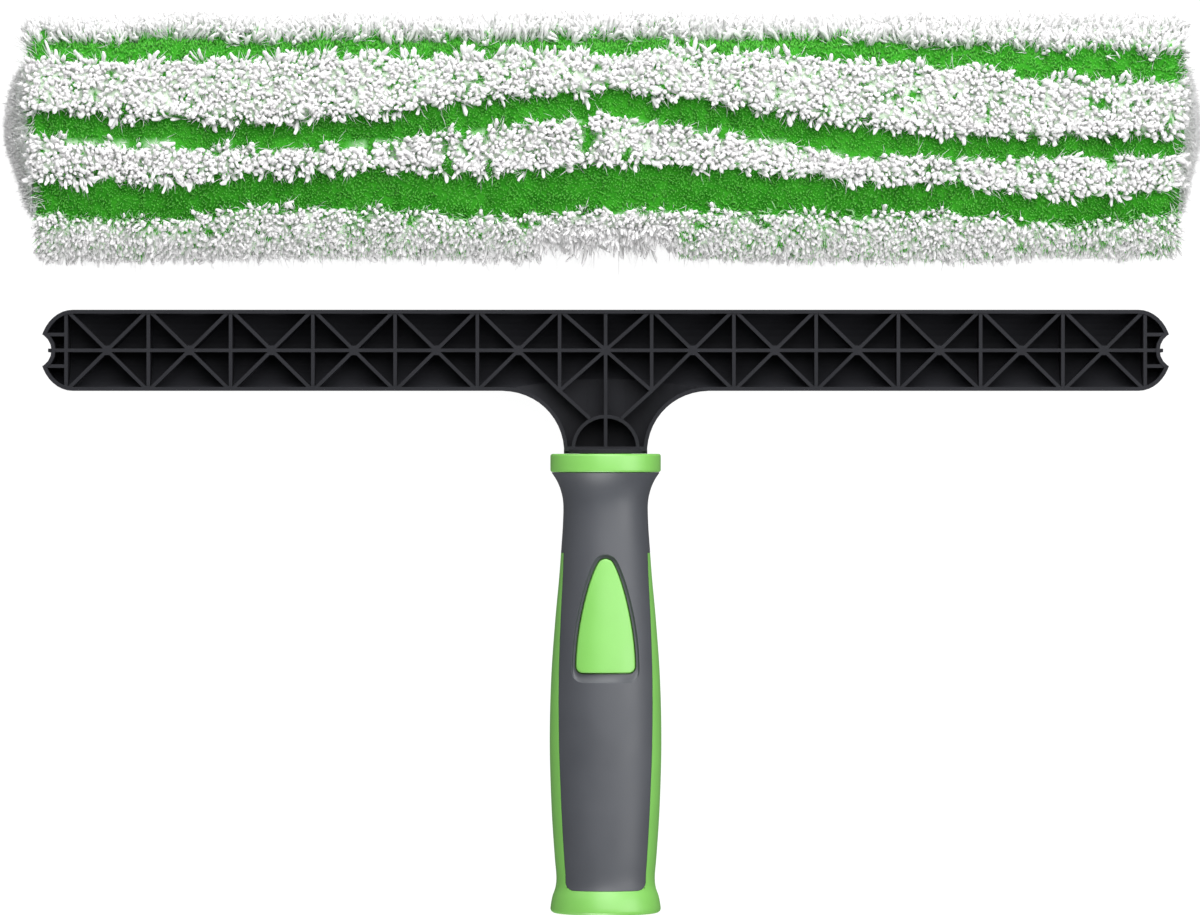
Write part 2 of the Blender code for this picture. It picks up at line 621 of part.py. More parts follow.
def make_bands(white, green, sleeve):
    for bands, lower in ((UPPER_BANDS, False), (LOWER_BANDS, True)):
        for name, start, end in bands:
            angles = [outline_angle(place * MM, lower) for place in (start, end)]
            soft = name.startswith("green")
            section = band_section(angles[0], angles[1], GREEN_SHARE if soft else 1.0)
            shape = along_x(section, -PILE_HALF_LENGTH, PILE_HALF_LENGTH)
            add_object(name, shape, green if soft else white, sleeve)
    mouths = (
        ("pile_upper_mouth", MOUTH_TIP_UPPER, UPPER_BANDS[0][1] * MM, NOTCH_UPPER, False),
        ("pile_lower_mouth", MOUTH_TIP_LOWER, LOWER_BANDS[-1][2] * MM, NOTCH_LOWER, True),
    )
    for name, tip, border, notch, lower in mouths:
        shape = along_x(mouth_band_section(tip, border, lower), -PILE_HALF_LENGTH, PILE_HALF_LENGTH)
        band = add_object(name, shape, white, sleeve)
        cutter = bmesh.new()
        low = (-NECK_NOTCH, -2 * PILE_HALF_WIDTH, -OVERSHOOT)
        block(cutter, low, (NECK_NOTCH, notch, 2 * PILE_HALF_WIDTH))
        boolean(band, add_object(f"guide_notch_{name}", cutter, parent=sleeve), "DIFFERENCE")


def tube_outline(thick):
    """The backing's section outside the cavity, from the lower lip round the fold to the upper lip."""
    middle = (CAVITY_LOW + CAVITY_HIGH) / 2
    radius = (CAVITY_HIGH - CAVITY_LOW) / 2 + thick
    fold = arc((FOLD_CENTRE, middle), (radius, radius), -90, 90, 14)
    return [(LIP_EDGE, middle - radius)] + fold + [(LIP_EDGE, middle + radius)]


def make_backing(paint, sleeve):
    section = tube_outline(CLOTH) + tube_outline(0.0)[::-1]
    add_object("sleeve_backing", along_x(section, -TUBE_HALF_LENGTH, TUBE_HALF_LENGTH), paint, sleeve)


def make_end_panels(paint, sleeve):
    outline = tube_outline(CLOTH)
    middle = (FOLD_CENTRE + LIP_EDGE) / 2, (CAVITY_LOW + CAVITY_HIGH) / 2
    start = TUBE_HALF_LENGTH + GAP
    for name, side in (("end_panel_left", -1), ("end_panel_right", 1)):
        rings = []
        for out, size in ((0.0, 1.0), (END_PANEL_THICK, 1.0), (END_PANEL_THICK + END_PANEL_DOME, 0.7)):
            ring = [blend_points(middle, point, size) for point in outline]
            rings.append([(side * (start + out), y, z) for y, z in ring])
        add_object(name, lofted(rings), paint, sleeve)


def make_bindings(paint, sleeve):
    """A folded tape round the cloth's edge on each lip."""
    for name, low, high in (
        ("lip_binding_upper", CAVITY_HIGH, CAVITY_HIGH + CLOTH),
        ("lip_binding_lower", CAVITY_LOW - CLOTH, CAVITY_LOW),
    ):
        slot = (low - GAP, high + GAP)
        outer = (slot[0] - BINDING, slot[1] + BINDING)
        edge = LIP_EDGE - GAP
        section = [
            (BINDING_FAR, outer[0]), (BINDING_FAR, slot[0]), (edge, slot[0]), (edge, slot[1]),
            (BINDING_FAR, slot[1]), (BINDING_FAR, outer[1]),
            (edge - BINDING, outer[1]), (edge - BINDING, outer[0]),
        ]
        shape = along_x(section, -TUBE_HALF_LENGTH, TUBE_HALF_LENGTH)
        add_object(name, shape, paint, sleeve)


def make_strips(hook_paint, loop_paint, sleeve):
    """Hook strips inside the upper lip and loop strips inside the lower lip, clear of the neck."""
    kinds = (
        ("hook_strip", hook_paint, CAVITY_HIGH - GAP - STRIP_THICK),
        ("loop_strip", loop_paint, CAVITY_LOW + GAP),
    )
    for kind, paint, low in kinds:
        for name, side in (("left", -1), ("right", 1)):
            near, far = sorted(side * end for end in STRIP_ENDS)
            shape = bmesh.new()
            block(shape, (near, STRIP_EDGES[0], low), (far, STRIP_EDGES[1], low + STRIP_THICK))
            add_object(f"{kind}_{name}", shape, paint, sleeve)


def main():
    clear_scene()
    black = material("black_plastic", (0.012, 0.013, 0.015), 0.42)
    green = material("green_plastic", (0.27, 0.74, 0.20), 0.38)
    grey = material("grey_soft_plastic", (0.105, 0.115, 0.13), 0.62)
    steel = material("steel", (0.55, 0.56, 0.58), 0.35, 1.0)
    white_pile = material("white_microfibre", (0.82, 0.85, 0.82), 0.95)
    green_pile = material("green_microfibre", (0.035, 0.34, 0.02), 0.95)
    backing = material("green_backing", (0.05, 0.30, 0.03), 0.9)
    fleece = material("pale_grey_fabric", (0.62, 0.64, 0.64), 0.95)
    hooks = material("hook_tape", (0.55, 0.56, 0.56), 0.7)
    loops = material("loop_tape", (0.7, 0.71, 0.7), 0.9)

    make_head(black)
    make_collar(green)
    make_grip(grey)
    make_inlay(green)
    make_core(green)
    pin_shape("tang_pin", PIN_RADIUS, PIN_HALF_LENGTH, steel)

    sleeve = bpy.data.objects.new("sleeve", None)
    bpy.context.scene.collection.objects.link(sleeve)
    sleeve.location = (0.0, SLEEVE_Y, 0.0)
    make_backing(backing, sleeve)
    make_bands(white_pile, green_pile, sleeve)
    make_end_panels(fleece, sleeve)
    make_bindings(fleece, sleeve)
    make_strips(hooks, loops, sleeve)


main()
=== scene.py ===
import math

import bmesh
import bpy
import numpy as np
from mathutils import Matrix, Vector


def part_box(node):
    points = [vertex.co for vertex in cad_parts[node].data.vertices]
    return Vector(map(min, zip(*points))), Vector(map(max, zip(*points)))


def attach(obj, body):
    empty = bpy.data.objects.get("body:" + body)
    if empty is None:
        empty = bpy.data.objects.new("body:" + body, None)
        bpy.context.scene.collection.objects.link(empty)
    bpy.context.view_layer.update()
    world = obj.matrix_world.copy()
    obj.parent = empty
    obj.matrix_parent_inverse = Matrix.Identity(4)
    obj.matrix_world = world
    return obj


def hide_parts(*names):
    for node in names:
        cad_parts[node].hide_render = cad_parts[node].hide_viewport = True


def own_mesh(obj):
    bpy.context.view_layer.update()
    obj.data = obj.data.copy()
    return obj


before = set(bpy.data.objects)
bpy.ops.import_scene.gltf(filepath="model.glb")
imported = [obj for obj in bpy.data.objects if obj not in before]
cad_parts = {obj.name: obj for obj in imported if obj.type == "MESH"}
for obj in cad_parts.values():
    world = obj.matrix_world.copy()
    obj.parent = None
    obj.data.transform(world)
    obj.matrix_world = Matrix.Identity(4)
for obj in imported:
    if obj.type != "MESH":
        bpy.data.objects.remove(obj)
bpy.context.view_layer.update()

MM = 0.001

# Handle, as in the CAD model. Places down the handle are measured from the bar's centre line.
BAR_HALF_WIDTH = 12.6 * MM
SILHOUETTE = (
    (37.9, 16.9), (40.3, 15.3), (43.4, 14.0), (47.5, 13.2), (54.0, 13.3), (61.5, 13.8), (71.0, 14.5),
    (84.0, 15.7), (102.0, 16.95), (122.0, 17.4), (142.0, 16.85), (157.0, 15.9), (163.5, 15.35),
    (167.0, 15.6), (170.0, 16.6), (173.4, 17.2),
)
HANDLE_END = 175.0 * MM
BASE_EDGE = 1.4 * MM
SOCKET_DEPTH = 60 * MM
SOCKET_BOTTOM_RADIUS = 10.5 * MM
SOCKET_MOUTH_RADIUS = 11.2 * MM
GRIP_TOP = 37.9 * MM
GRIP_SPLIT = 62.9 * MM
GRIP_BOTTOM = 167.2 * MM
GRIP_THICK = 3.0 * MM
GRIP_FLATTER = 0.05
PANEL_WIDEST = 0.92
PANEL_NARROWEST = 0.79
PANEL_CORNER = 2.5 * MM
COLLAR_TOP = 32.4 * MM
COLLAR_BOTTOM = 37.6 * MM
COLLAR_RADIUS = 17.2 * MM
CORE_NECK_RADIUS = 10.6 * MM
INLAY_TIP = 64.7 * MM
INLAY_BOTTOM = 99.95 * MM
INLAY_HALF_WIDTH = 9.1 * MM
INLAY_CORNER = 2.0 * MM
INLAY_NOSE = 0.8 * MM
INLAY_SUNK = 0.3 * MM
RIM_SIDE = 1.5 * MM
RIM_BELOW = 3.3 * MM
RIM_DEPTH = 1.1 * MM
RIM_LIFT = 0.3 * MM
SEGMENTS = 192
GAP = 0.3 * MM
LATTICE = 97

# Sleeve, as in the CAD model. Places across it are measured from its own centre line.
PILE_HALF_WIDTH = 38.6 * MM
PILE_HALF_LENGTH = 180.0 * MM
OUTLINE_POWER = 2.6
OUTLINE_CENTRE_Z = 19.5 * MM
OUTLINE_RISE = 20.5 * MM
CLOTH = 1.2 * MM
CAVITY_LOW = 7.6 * MM
CAVITY_HIGH = 26.0 * MM
FOLD_CENTRE = 13.5 * MM
LIP_EDGE = -23.0 * MM
TUBE_HALF_LENGTH = 177.6 * MM
MOUTH_TIP_UPPER = -38.0 * MM
MOUTH_TIP_LOWER = -34.0 * MM
NECK_NOTCH = 19.0 * MM
NOTCH_UPPER = -27.8 * MM
NOTCH_LOWER = -24.6 * MM
STRIP_ENDS = (24.0 * MM, 165.0 * MM)
STRIP_EDGES = (-20.0 * MM, -12.0 * MM)

# The green stripes wander along the sleeve. Their middle and half width, in millimetres, every 36 mm.
STRIPE_X = tuple(range(-180, 181, 36))
STRIPES_ABOVE = (
    ("back", (28.2, 28.3, 28.2, 29.0, 29.6, 29.8, 30.5, 28.2, 26.6, 22.8, 22.2),
     (2.5, 2.9, 2.5, 2.2, 1.9, 2.4, 2.0, 2.4, 2.8, 3.6, 3.2)),
    ("middle", (4.9, 2.8, 0.0, 3.2, 7.8, 10.4, 5.8, 0.6, -3.0, -2.6, -2.9),
     (2.8, 3.0, 2.5, 3.4, 3.6, 2.1, 3.8, 3.5, 3.1, 2.2, 2.6)),
    ("mouth", (-18.2, -20.0, -16.0, -16.0, -17.9, -14.8, -16.0, -18.0, -18.8, -22.9, -20.0),
     (4.8, 5.3, 4.0, 5.4, 6.0, 5.9, 5.4, 4.6, 3.2, 3.4, 2.0)),
)
STRIPES_BELOW = (
    ("lower_back", (21.0,) * 11, (3.5,) * 11),
    ("lower_mouth", (-5.0,) * 11, (3.5,) * 11),
)
GREEN_SHARE = 0.64
WHITE_SHARE = 0.85
OVERHANG = 1.2 * MM
SKIN_WHITE_FROM = 2.3 * MM
FOLD_FROM = 30 * MM  # beyond this place the pile turns over the fold
RUN_PER_TURN = 30 * MM  # length along the section that goes with one radian of its outline
MOST_TUFTS = 3900  # a band with more is made as a left and a right piece
FELT_FIBRES = 14000
KINK = 0.3  # how far a strand strays from its curve, as a share of its radius

AXIS_Z = sum(corner.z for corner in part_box("collar_ring")) / 2
BAR_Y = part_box("t_bar_head")[1].y - BAR_HALF_WIDTH
SLEEVE_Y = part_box("sleeve_backing")[0].y - LIP_EDGE


# -------------------- camera, lights and floor

WHITE = (1.0, 1.0, 1.0, 1.0)


def placed(name, data):
    made = bpy.data.objects.new(name, data)
    bpy.context.scene.collection.objects.link(made)
    return made


def make_camera():
    data = bpy.data.cameras.new("camera")
    data.sensor_width = 36.0
    data.lens = 200.0
    camera = placed("camera", data)
    camera.location = (-1.74 * MM, 2.16 * MM, 2.094)
    bpy.context.scene.camera = camera


def area_light(name, place, target, size, power):
    data = bpy.data.lights.new(name, "AREA")
    data.shape = "SQUARE"
    data.size = size
    data.energy = power
    light = placed(name, data)
    light.location = place
    light.rotation_mode = "QUATERNION"
    light.rotation_quaternion = (Vector(target) - Vector(place)).to_track_quat("-Z", "Y")


def make_studio():
    scene = bpy.context.scene
    scene.view_settings.view_transform = "Standard"
    world = bpy.data.worlds.new("studio")
    world.use_nodes = True
    set_inputs(world.node_tree.nodes["Background"], {"Color": WHITE, "Strength": 0.14})
    scene.world = world
    area_light("top_softbox", (0.10, 0.60, 1.10), (0.0, 0.03, 0.0), 1.1, 12.5)
    area_light("right_softbox", (0.88, 0.05, 0.70), (0.0, 0.0, 0.02), 0.8, 6.5)
    area_light("front_fill", (-0.15, -1.10, 0.24), (0.0, 0.08, 0.02), 0.6, 10.0)
    area_light("rear_strip", (0.0, 0.95, 0.40), (0.0, 0.12, 0.02), 0.7, 7.0)
    area_light("end_fill", (-0.46, 0.35, 0.20), (-0.18, 0.12, 0.02), 0.2, 0.6)

    mesh = bpy.data.meshes.new("floor")
    side = 3.0
    corners = [(-side, -side, 0), (side, -side, 0), (side, side, 0), (-side, side, 0)]
    mesh.from_pydata(corners, [], [(0, 1, 2, 3)])
    floor = placed("floor", mesh)
    paint, shader = new_material("floor_paint", (0.12, 0.12, 0.12), 0.7)
    set_inputs(shader, {"Specular IOR Level": 0.1, "Emission Color": WHITE, "Emission Strength": 0.97})
    mesh.materials.append(paint)
    floor.visible_diffuse = False
    floor.visible_glossy = False


# -------------------- materials

# The colour sockets of a mix node, which share their names with its other sockets.
MIX_A, MIX_B, MIX_RESULT = 6, 7, 2


def new_material(name, colour, roughness):
    made = bpy.data.materials.new(name)
    made.use_nodes = True
    shader = made.node_tree.nodes["Principled BSDF"]
    set_inputs(shader, {"Base Color": (*colour, 1.0), "Roughness": roughness})
    return made, shader


def set_inputs(node, values):
    for name, value in values.items():
        node.inputs[name].default_value = value


def add_node(made, kind, **values):
    node = made.node_tree.nodes.new(kind)
    for name, value in values.items():
        if name in node.inputs:
            node.inputs[name].default_value = value
        else:
            setattr(node, name, value)
    return node


def link(made, source, target):
    made.node_tree.links.new(source, target)


def noise_at(made, scale, detail=4.0, rough=0.55):
    place = add_node(made, "ShaderNodeTexCoord")
    noise = add_node(made, "ShaderNodeTexNoise", Scale=scale, Detail=detail, Roughness=rough)
    link(made, place.outputs["Object"], noise.inputs["Vector"])
    return noise


def ramp(made, factor, stops):
    node = add_node(made, "ShaderNodeValToRGB")
    band = node.color_ramp
    while len(band.elements) < len(stops):
        band.elements.new(0.5)
    for element, (place, colour) in zip(band.elements, stops):
        element.position = place
        element.color = (*colour, 1.0)
    link(made, factor, node.inputs["Fac"])
    return node


def bump(made, shader, height, distance, strength):
    node = add_node(made, "ShaderNodeBump", Strength=strength, Distance=distance)
    link(made, height, node.inputs["Height"])
    link(made, node.outputs["Normal"], shader.inputs["Normal"])
    return node


def plastic(name, colour, roughness, grain, grain_scale, drift, gloss_level, edge=0.0):
    """Moulded plastic: a fine grain, softened edges, and a slight drift of colour and gloss."""
    made, shader = new_material(name, colour, roughness)
    wide = noise_at(made, 60.0, 5.0)
    low = tuple(c * (1 - drift) for c in colour)
    high = tuple(min(c * (1 + drift), 1.0) for c in colour)
    tone = ramp(made, wide.outputs["Fac"], [(0.3, low), (0.7, high)])
    link(made, tone.outputs["Color"], shader.inputs["Base Color"])
    gloss = add_node(made, "ShaderNodeMapRange")
    set_inputs(gloss, {"From Min": 0.3, "From Max": 0.7,
                       "To Min": roughness - 0.05, "To Max": roughness + 0.06})
    fine = noise_at(made, grain_scale, 3.0)
    link(made, wide.outputs["Fac"], gloss.inputs["Value"])
    link(made, gloss.outputs["Result"], shader.inputs["Roughness"])
    relief = bump(made, shader, fine.outputs["Fac"], 0.05 * MM, grain)
    if edge:
        rounded = add_node(made, "ShaderNodeBevel", Radius=edge)
        link(made, rounded.outputs["Normal"], relief.inputs["Normal"])
    shader.inputs["Specular IOR Level"].default_value = gloss_level
    return made


def soften(shader, sheen, roughness, tint, gloss_level):
    set_inputs(shader, {"Sheen Weight": sheen, "Sheen Roughness": roughness, "Sheen Tint": (*tint, 1.0),
                        "Specular IOR Level": gloss_level})


def yarn(name, root, middle, tip, roughness=0.9, sheen=0.35, sheen_tint=(1, 1, 1)):
    """Pile: darker at the root and lighter at the tip, as painted shade between the tufts and a painted
    highlight on their tips, with a little difference from tuft to tuft.
    """
    made, shader = new_material(name, middle, roughness)
    place = add_node(made, "ShaderNodeUVMap", uv_map="OFBake")
    parts = add_node(made, "ShaderNodeSeparateXYZ")
    link(made, place.outputs["UV"], parts.inputs["Vector"])
    # Painted light along each tuft: painted shade at the root, painted highlight tint at the tip.
    along = ramp(made, parts.outputs["X"], [(0.0, root), (0.4, middle), (1.0, tip)])
    shade = ramp(made, parts.outputs["Y"], [(0.0, (0.88,) * 3), (1.0, (1.0,) * 3)])
    mix = add_node(made, "ShaderNodeMix", data_type="RGBA", blend_type="MULTIPLY")
    mix.inputs["Factor"].default_value = 1.0
    link(made, along.outputs["Color"], mix.inputs[MIX_A])
    link(made, shade.outputs["Color"], mix.inputs[MIX_B])
    link(made, mix.outputs[MIX_RESULT], shader.inputs["Base Color"])
    fibre = noise_at(made, 3500.0, 2.0)
    bump(made, shader, fibre.outputs["Fac"], 0.2 * MM, 0.6)
    soften(shader, sheen, 0.5, sheen_tint, 0.2)
    return made


def velour(name, dark, light, pale, sheen_tint):
    """Short dense pile: mottled with painted light and shade where the nap would lean, and pale under the
    white bands.
    """
    made, shader = new_material(name, dark, 0.95)
    # Painted light and shade: lighter and darker patches stand in for the nap catching the light.
    patch = noise_at(made, 220.0, 6.0, 0.7)
    tone = ramp(made, patch.outputs["Fac"], [(0.3, dark), (0.7, light)])
    band = add_node(made, "ShaderNodeAttribute", attribute_name="white")
    fleck = noise_at(made, 330.0, 2.0, 0.5)
    gap = ramp(made, fleck.outputs["Fac"], [(0.36, (0.0,) * 3), (0.44, (1.0,) * 3)])
    share = add_node(made, "ShaderNodeMath", operation="MULTIPLY")
    link(made, band.outputs["Fac"], share.inputs[0])
    link(made, gap.outputs["Color"], share.inputs[1])
    mix = add_node(made, "ShaderNodeMix", data_type="RGBA")
    link(made, share.outputs["Value"], mix.inputs["Factor"])
    link(made, tone.outputs["Color"], mix.inputs[MIX_A])
    mix.inputs[MIX_B].default_value = (*pale, 1.0)
    link(made, mix.outputs[MIX_RESULT], shader.inputs["Base Color"])
    nap = noise_at(made, 2600.0, 3.0, 0.6)
    bump(made, shader, nap.outputs["Fac"], 0.5 * MM, 0.8)
    soften(shader, 0.5, 0.4, sheen_tint, 0.15)
    return made


def woven(name, dark, light, thread=0.6 * MM):
    """Plain woven or knitted cloth, with its two thread directions as waves in the bump."""
    made, shader = new_material(name, dark, 0.9)
    place = add_node(made, "ShaderNodeTexCoord")
    scale = 1.0 / thread / 2
    warp = add_node(made, "ShaderNodeTexWave", Scale=scale, wave_type="BANDS", bands_direction="X")
    weft = add_node(made, "ShaderNodeTexWave", Scale=scale, wave_type="BANDS", bands_direction="DIAGONAL")
    link(made, place.outputs["Object"], warp.inputs["Vector"])
    link(made, place.outputs["Object"], weft.inputs["Vector"])
    both = add_node(made, "ShaderNodeMath", operation="MULTIPLY")
    link(made, warp.outputs["Fac"], both.inputs[0])
    link(made, weft.outputs["Fac"], both.inputs[1])
    tone = ramp(made, both.outputs["Value"], [(0.0, dark), (1.0, light)])
    link(made, tone.outputs["Color"], shader.inputs["Base Color"])
    bump(made, shader, both.outputs["Value"], 0.25 * MM, 0.7)
    shader.inputs["Sheen Weight"].default_value = 0.3
    return made


# -------------------- mesh tools

def as_object(name, mesh, paint, body, replaces=()):
    made = placed(name, mesh)
    mesh.materials.clear()
    mesh.materials.append(paint)
    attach(made, body)
    if replaces:
        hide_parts(*replaces)
    return made


def mesh_of(name, points, *groups):
    """A mesh from points and groups of faces. It is much faster than from_pydata for big pieces."""
    groups = [g for g in groups if len(g)]
    loops = np.concatenate([g.ravel() for g in groups]).astype(np.int32)
    sizes = np.concatenate([np.full(len(g), g.shape[1]) for g in groups]).astype(np.int32)
    starts = np.concatenate([[0], np.cumsum(sizes)[:-1]]).astype(np.int32)
    mesh = bpy.data.meshes.new(name)
    mesh.vertices.add(len(points))
    mesh.vertices.foreach_set("co", np.asarray(points, np.float32).ravel())
    mesh.loops.add(len(loops))
    mesh.loops.foreach_set("vertex_index", loops)
    mesh.polygons.add(len(sizes))
    mesh.polygons.foreach_set("loop_start", starts)
    mesh.polygons.foreach_set("use_smooth", np.ones(len(sizes), bool))
    mesh.update(calc_edges=True)
    mesh.validate()
    return mesh


def helper(name, shape):
    bmesh.ops.recalc_face_normals(shape, faces=shape.faces)
    mesh = bpy.data.meshes.new(name)
    shape.to_mesh(mesh)
    shape.free()
    return placed(name, mesh)


def boolean(target, other, operation="DIFFERENCE"):
    step = target.modifiers.new(operation.lower(), "BOOLEAN")
    step.operation = operation
    step.object = other
    step.solver = "EXACT"


def bevel(target, width, steps=3, angle=32.0):
    step = target.modifiers.new("edges", "BEVEL")
    step.width = width
    step.segments = steps
    step.limit_method = "ANGLE"
    step.angle_limit = math.radians(angle)
    step.use_clamp_overlap = False


def baked(target, angle=32.0):
    """The object's mesh with its modifiers applied, and its helpers removed."""
    depsgraph = bpy.context.evaluated_depsgraph_get()
    mesh = bpy.data.meshes.new_from_object(target.evaluated_get(depsgraph))
    others = [step.object for step in target.modifiers if step.type == "BOOLEAN"]
    bpy.data.objects.remove(target, do_unlink=True)
    for other in others:
        bpy.data.objects.remove(other, do_unlink=True)
    mesh.shade_smooth()
    mesh.set_sharp_from_angle(angle=math.radians(angle))
    return mesh


def arc(centre, radii, start, end, steps):
    angles = np.radians(np.linspace(start, end, steps + 1))
    return [(centre[0] + radii[0] * math.cos(a), centre[1] + radii[1] * math.sin(a)) for a in angles]


def both_sides(right):
    return right + [(-x, y) for x, y in reversed(right)]


def lofted(rings, closed=False):
    """A skin over rings of points, capped at both ends or closed from the last ring to the first."""
    shape = bmesh.new()
    loops = [[shape.verts.new(point) for point in ring] for ring in rings]
    for loop, following in zip(loops, loops[1:] + loops[:1] if closed else loops[1:]):
        for i in range(len(loop)):
            j = (i + 1) % len(loop)
            shape.faces.new((loop[i], loop[j], following[j], following[i]))
    if not closed:
        shape.faces.new(loops[0])
        shape.faces.new(loops[-1])
    return shape


def prism(outline, low, high):
    return lofted([[(x, y, z) for x, y in outline] for z in (low, high)])


def smooth_table(points, steps):
    """Points on a smooth curve through the given ones."""
    made = []
    last = len(points) - 1
    for i in range(last):
        near = np.array([points[min(max(i + k, 0), last)] for k in (-1, 0, 1, 2)])
        for j in range(steps):
            t = j / steps
            weights = ((2 * t**2 - t - t**3) / 2, (2 - 5 * t**2 + 3 * t**3) / 2,
                       (t + 4 * t**2 - 3 * t**3) / 2, (t**3 - t**2) / 2)
            made.append(weights @ near)
    made.append(np.array(points[-1], float))
    return np.array(made)


def soft_noise(x, y, size, seed):
    """Smooth random field between about -1 and 1, with features of the given size."""
    lattice = np.random.default_rng(seed).uniform(-1, 1, (LATTICE, LATTICE))
    u, v = np.asarray(x) / size + 40.3, np.asarray(y) / size + 40.7
    i, j = np.floor(u).astype(int), np.floor(v).astype(int)
    fu, fv = u - i, v - j
    fu, fv = fu * fu * (3 - 2 * fu), fv * fv * (3 - 2 * fv)
    corner = lambda a, b: lattice[(i + a) % LATTICE, (j + b) % LATTICE]
    low = corner(0, 0) * (1 - fu) + corner(1, 0) * fu
    high = corner(0, 1) * (1 - fu) + corner(1, 1) * fu
    return low * (1 - fv) + high * fv


# -------------------- handle

PROFILE = smooth_table(SILHOUETTE, 8) * MM


def radius_at(down):
    return np.interp(down, PROFILE[:, 0], PROFILE[:, 1])


def depth_share(down):
    share = (down - GRIP_TOP) / (HANDLE_END - GRIP_TOP)
    return 1.0 - GRIP_FLATTER * math.sin(math.pi * min(max(share, 0.0), 1.0))


def surface_z(x, y, below=0.0):
    """Height of the grip's front surface at a place in plan, less a depth."""
    down = BAR_Y - y
    radius = float(radius_at(down)) - below
    return AXIS_Z + depth_share(down) * math.sqrt(max(radius**2 - x**2, 0.0))


def turned(profile, oval=True, closed=False):
    rings = []
    for down, radius in profile:
        depth = radius * depth_share(down) if oval else radius
        ring = arc((0.0, AXIS_Z), (radius, depth), 0, 360, SEGMENTS)[:-1]
        rings.append([(x, BAR_Y - down, z) for x, z in ring])
    return lofted(rings, closed)


def profile_between(top, bottom, offset=0.0):
    count = max(int((bottom - top) / (1.0 * MM)), 2)
    return [(down, float(radius_at(down)) + offset) for down in np.linspace(top, bottom, count + 1)]


def core_profile(offset=0.0):
    neck = CORE_NECK_RADIUS + offset
    below = profile_between(GRIP_TOP + 2 * MM, GRIP_BOTTOM + 4 * MM, offset - GRIP_THICK)
    return [(COLLAR_TOP - 2 * MM, neck), (GRIP_TOP, neck)] + below


def panel_outline(margin):
    wide = COLLAR_RADIUS + 4 * MM
    bottom = GRIP_BOTTOM + margin
    right = [(wide, BAR_Y - COLLAR_TOP + 2 * MM), (wide, BAR_Y - GRIP_SPLIT)]
    for share in np.linspace(0, 1, 70) ** 1.5:
        down = GRIP_SPLIT + (bottom - PANEL_CORNER - GRIP_SPLIT) * share
        breadth = PANEL_NARROWEST + (PANEL_WIDEST - PANEL_NARROWEST) * (1.0 - share) ** 2
        right.append((float(radius_at(down)) * breadth + margin, BAR_Y - down))
    centre = (right[-1][0] - PANEL_CORNER, right[-1][1])
    right += arc(centre, (PANEL_CORNER, PANEL_CORNER), -10, -90, 10)
    return both_sides(right)


def moved_out(outline, margin):
    """A closed outline moved outwards, each point along its own normal."""
    points = np.array(outline)
    span = np.roll(points, -1, axis=0) - np.roll(points, 1, axis=0)
    span /= np.hypot(span[:, 0], span[:, 1])[:, None]
    return points + margin * np.stack([-span[:, 1], span[:, 0]], -1)


def inlay_outline(side, below=0.0):
    """An arch with a rounded tip and lower corners, moved outwards by a margin, and by more below."""
    corner = INLAY_CORNER
    length = INLAY_BOTTOM - corner - INLAY_TIP
    share = np.linspace(0, 1, 37)[1:] ** 2
    swing = np.sin(math.pi / 2 * (0.06 + 0.4 * np.sqrt(share) + 0.46 * share + 0.08 * share**4))
    blunt = np.maximum(1.0 - length * share / INLAY_NOSE, 0.0)
    across = INLAY_HALF_WIDTH * swing * np.sqrt(1.0 - blunt**2)
    right = list(zip(across, BAR_Y - INLAY_TIP - length * share))
    flat = INLAY_HALF_WIDTH - corner
    right += arc((flat, BAR_Y - INLAY_BOTTOM + corner), (corner, corner), -14, -90, 8)
    right += [(x, BAR_Y - INLAY_BOTTOM) for x in np.linspace(flat, 0.5 * MM, 9)[1:]]
    moved = moved_out(both_sides(right), side)
    low = smooth((BAR_Y - INLAY_BOTTOM + 9 * MM - moved[:, 1]) / (9 * MM))
    moved[:, 1] -= below * low
    return [tuple(point) for point in moved]


def make_collar(paint):
    edge = 0.75 * MM
    top, bottom = COLLAR_TOP - 0.25 * MM, COLLAR_BOTTOM + 0.25 * MM
    outer = arc((bottom - edge, COLLAR_RADIUS - edge), (edge, edge), 0, 90, 6)
    outer += arc((top + edge, COLLAR_RADIUS - edge), (edge, edge), 90, 180, 6)
    inner = [(top, CORE_NECK_RADIUS + GAP), (bottom, CORE_NECK_RADIUS + GAP)]
    collar = helper("collar_fine", turned(outer + inner, oval=False, closed=True))
    as_object("collar", baked(collar), paint, "handle", ["collar_ring"])


def make_grip(paint):
    widest = float(radius_at(GRIP_TOP))
    outside = [(GRIP_TOP, widest - 0.4 * MM), (GRIP_TOP + 0.15 * MM, widest - 0.1 * MM)]
    outside += profile_between(GRIP_TOP + 0.6 * MM, GRIP_BOTTOM + MM)
    grip = helper("grip_fine", turned(outside))
    wide = np.array(inlay_outline(RIM_SIDE, RIM_BELOW - RIM_SIDE))
    near = np.array(inlay_outline(0.38 * MM))
    rings = [[(x, y, AXIS_Z + 22 * MM) for x, y in wide]]
    for share in np.linspace(0, 1, 9):
        depth = RIM_DEPTH * (1 - (1 - share) ** 2.2) - RIM_LIFT * (1 - share) ** 6
        between = wide + (near - wide) * share
        rings.append([(x, y, surface_z(x, y, depth)) for x, y in between])
    rings.append([(x, y, AXIS_Z + 4 * MM) for x, y in near])
    boolean(grip, helper("grip_window", lofted(rings)))
    boolean(grip, helper("grip_inside", turned(core_profile(GAP))))
    panels = prism(panel_outline(GAP - 0.04 * MM), -2 * MM, 60 * MM)
    boolean(grip, helper("grip_panels", panels), "INTERSECT")
    as_object("grip", baked(grip), paint, "handle", ["grip_overmould"])


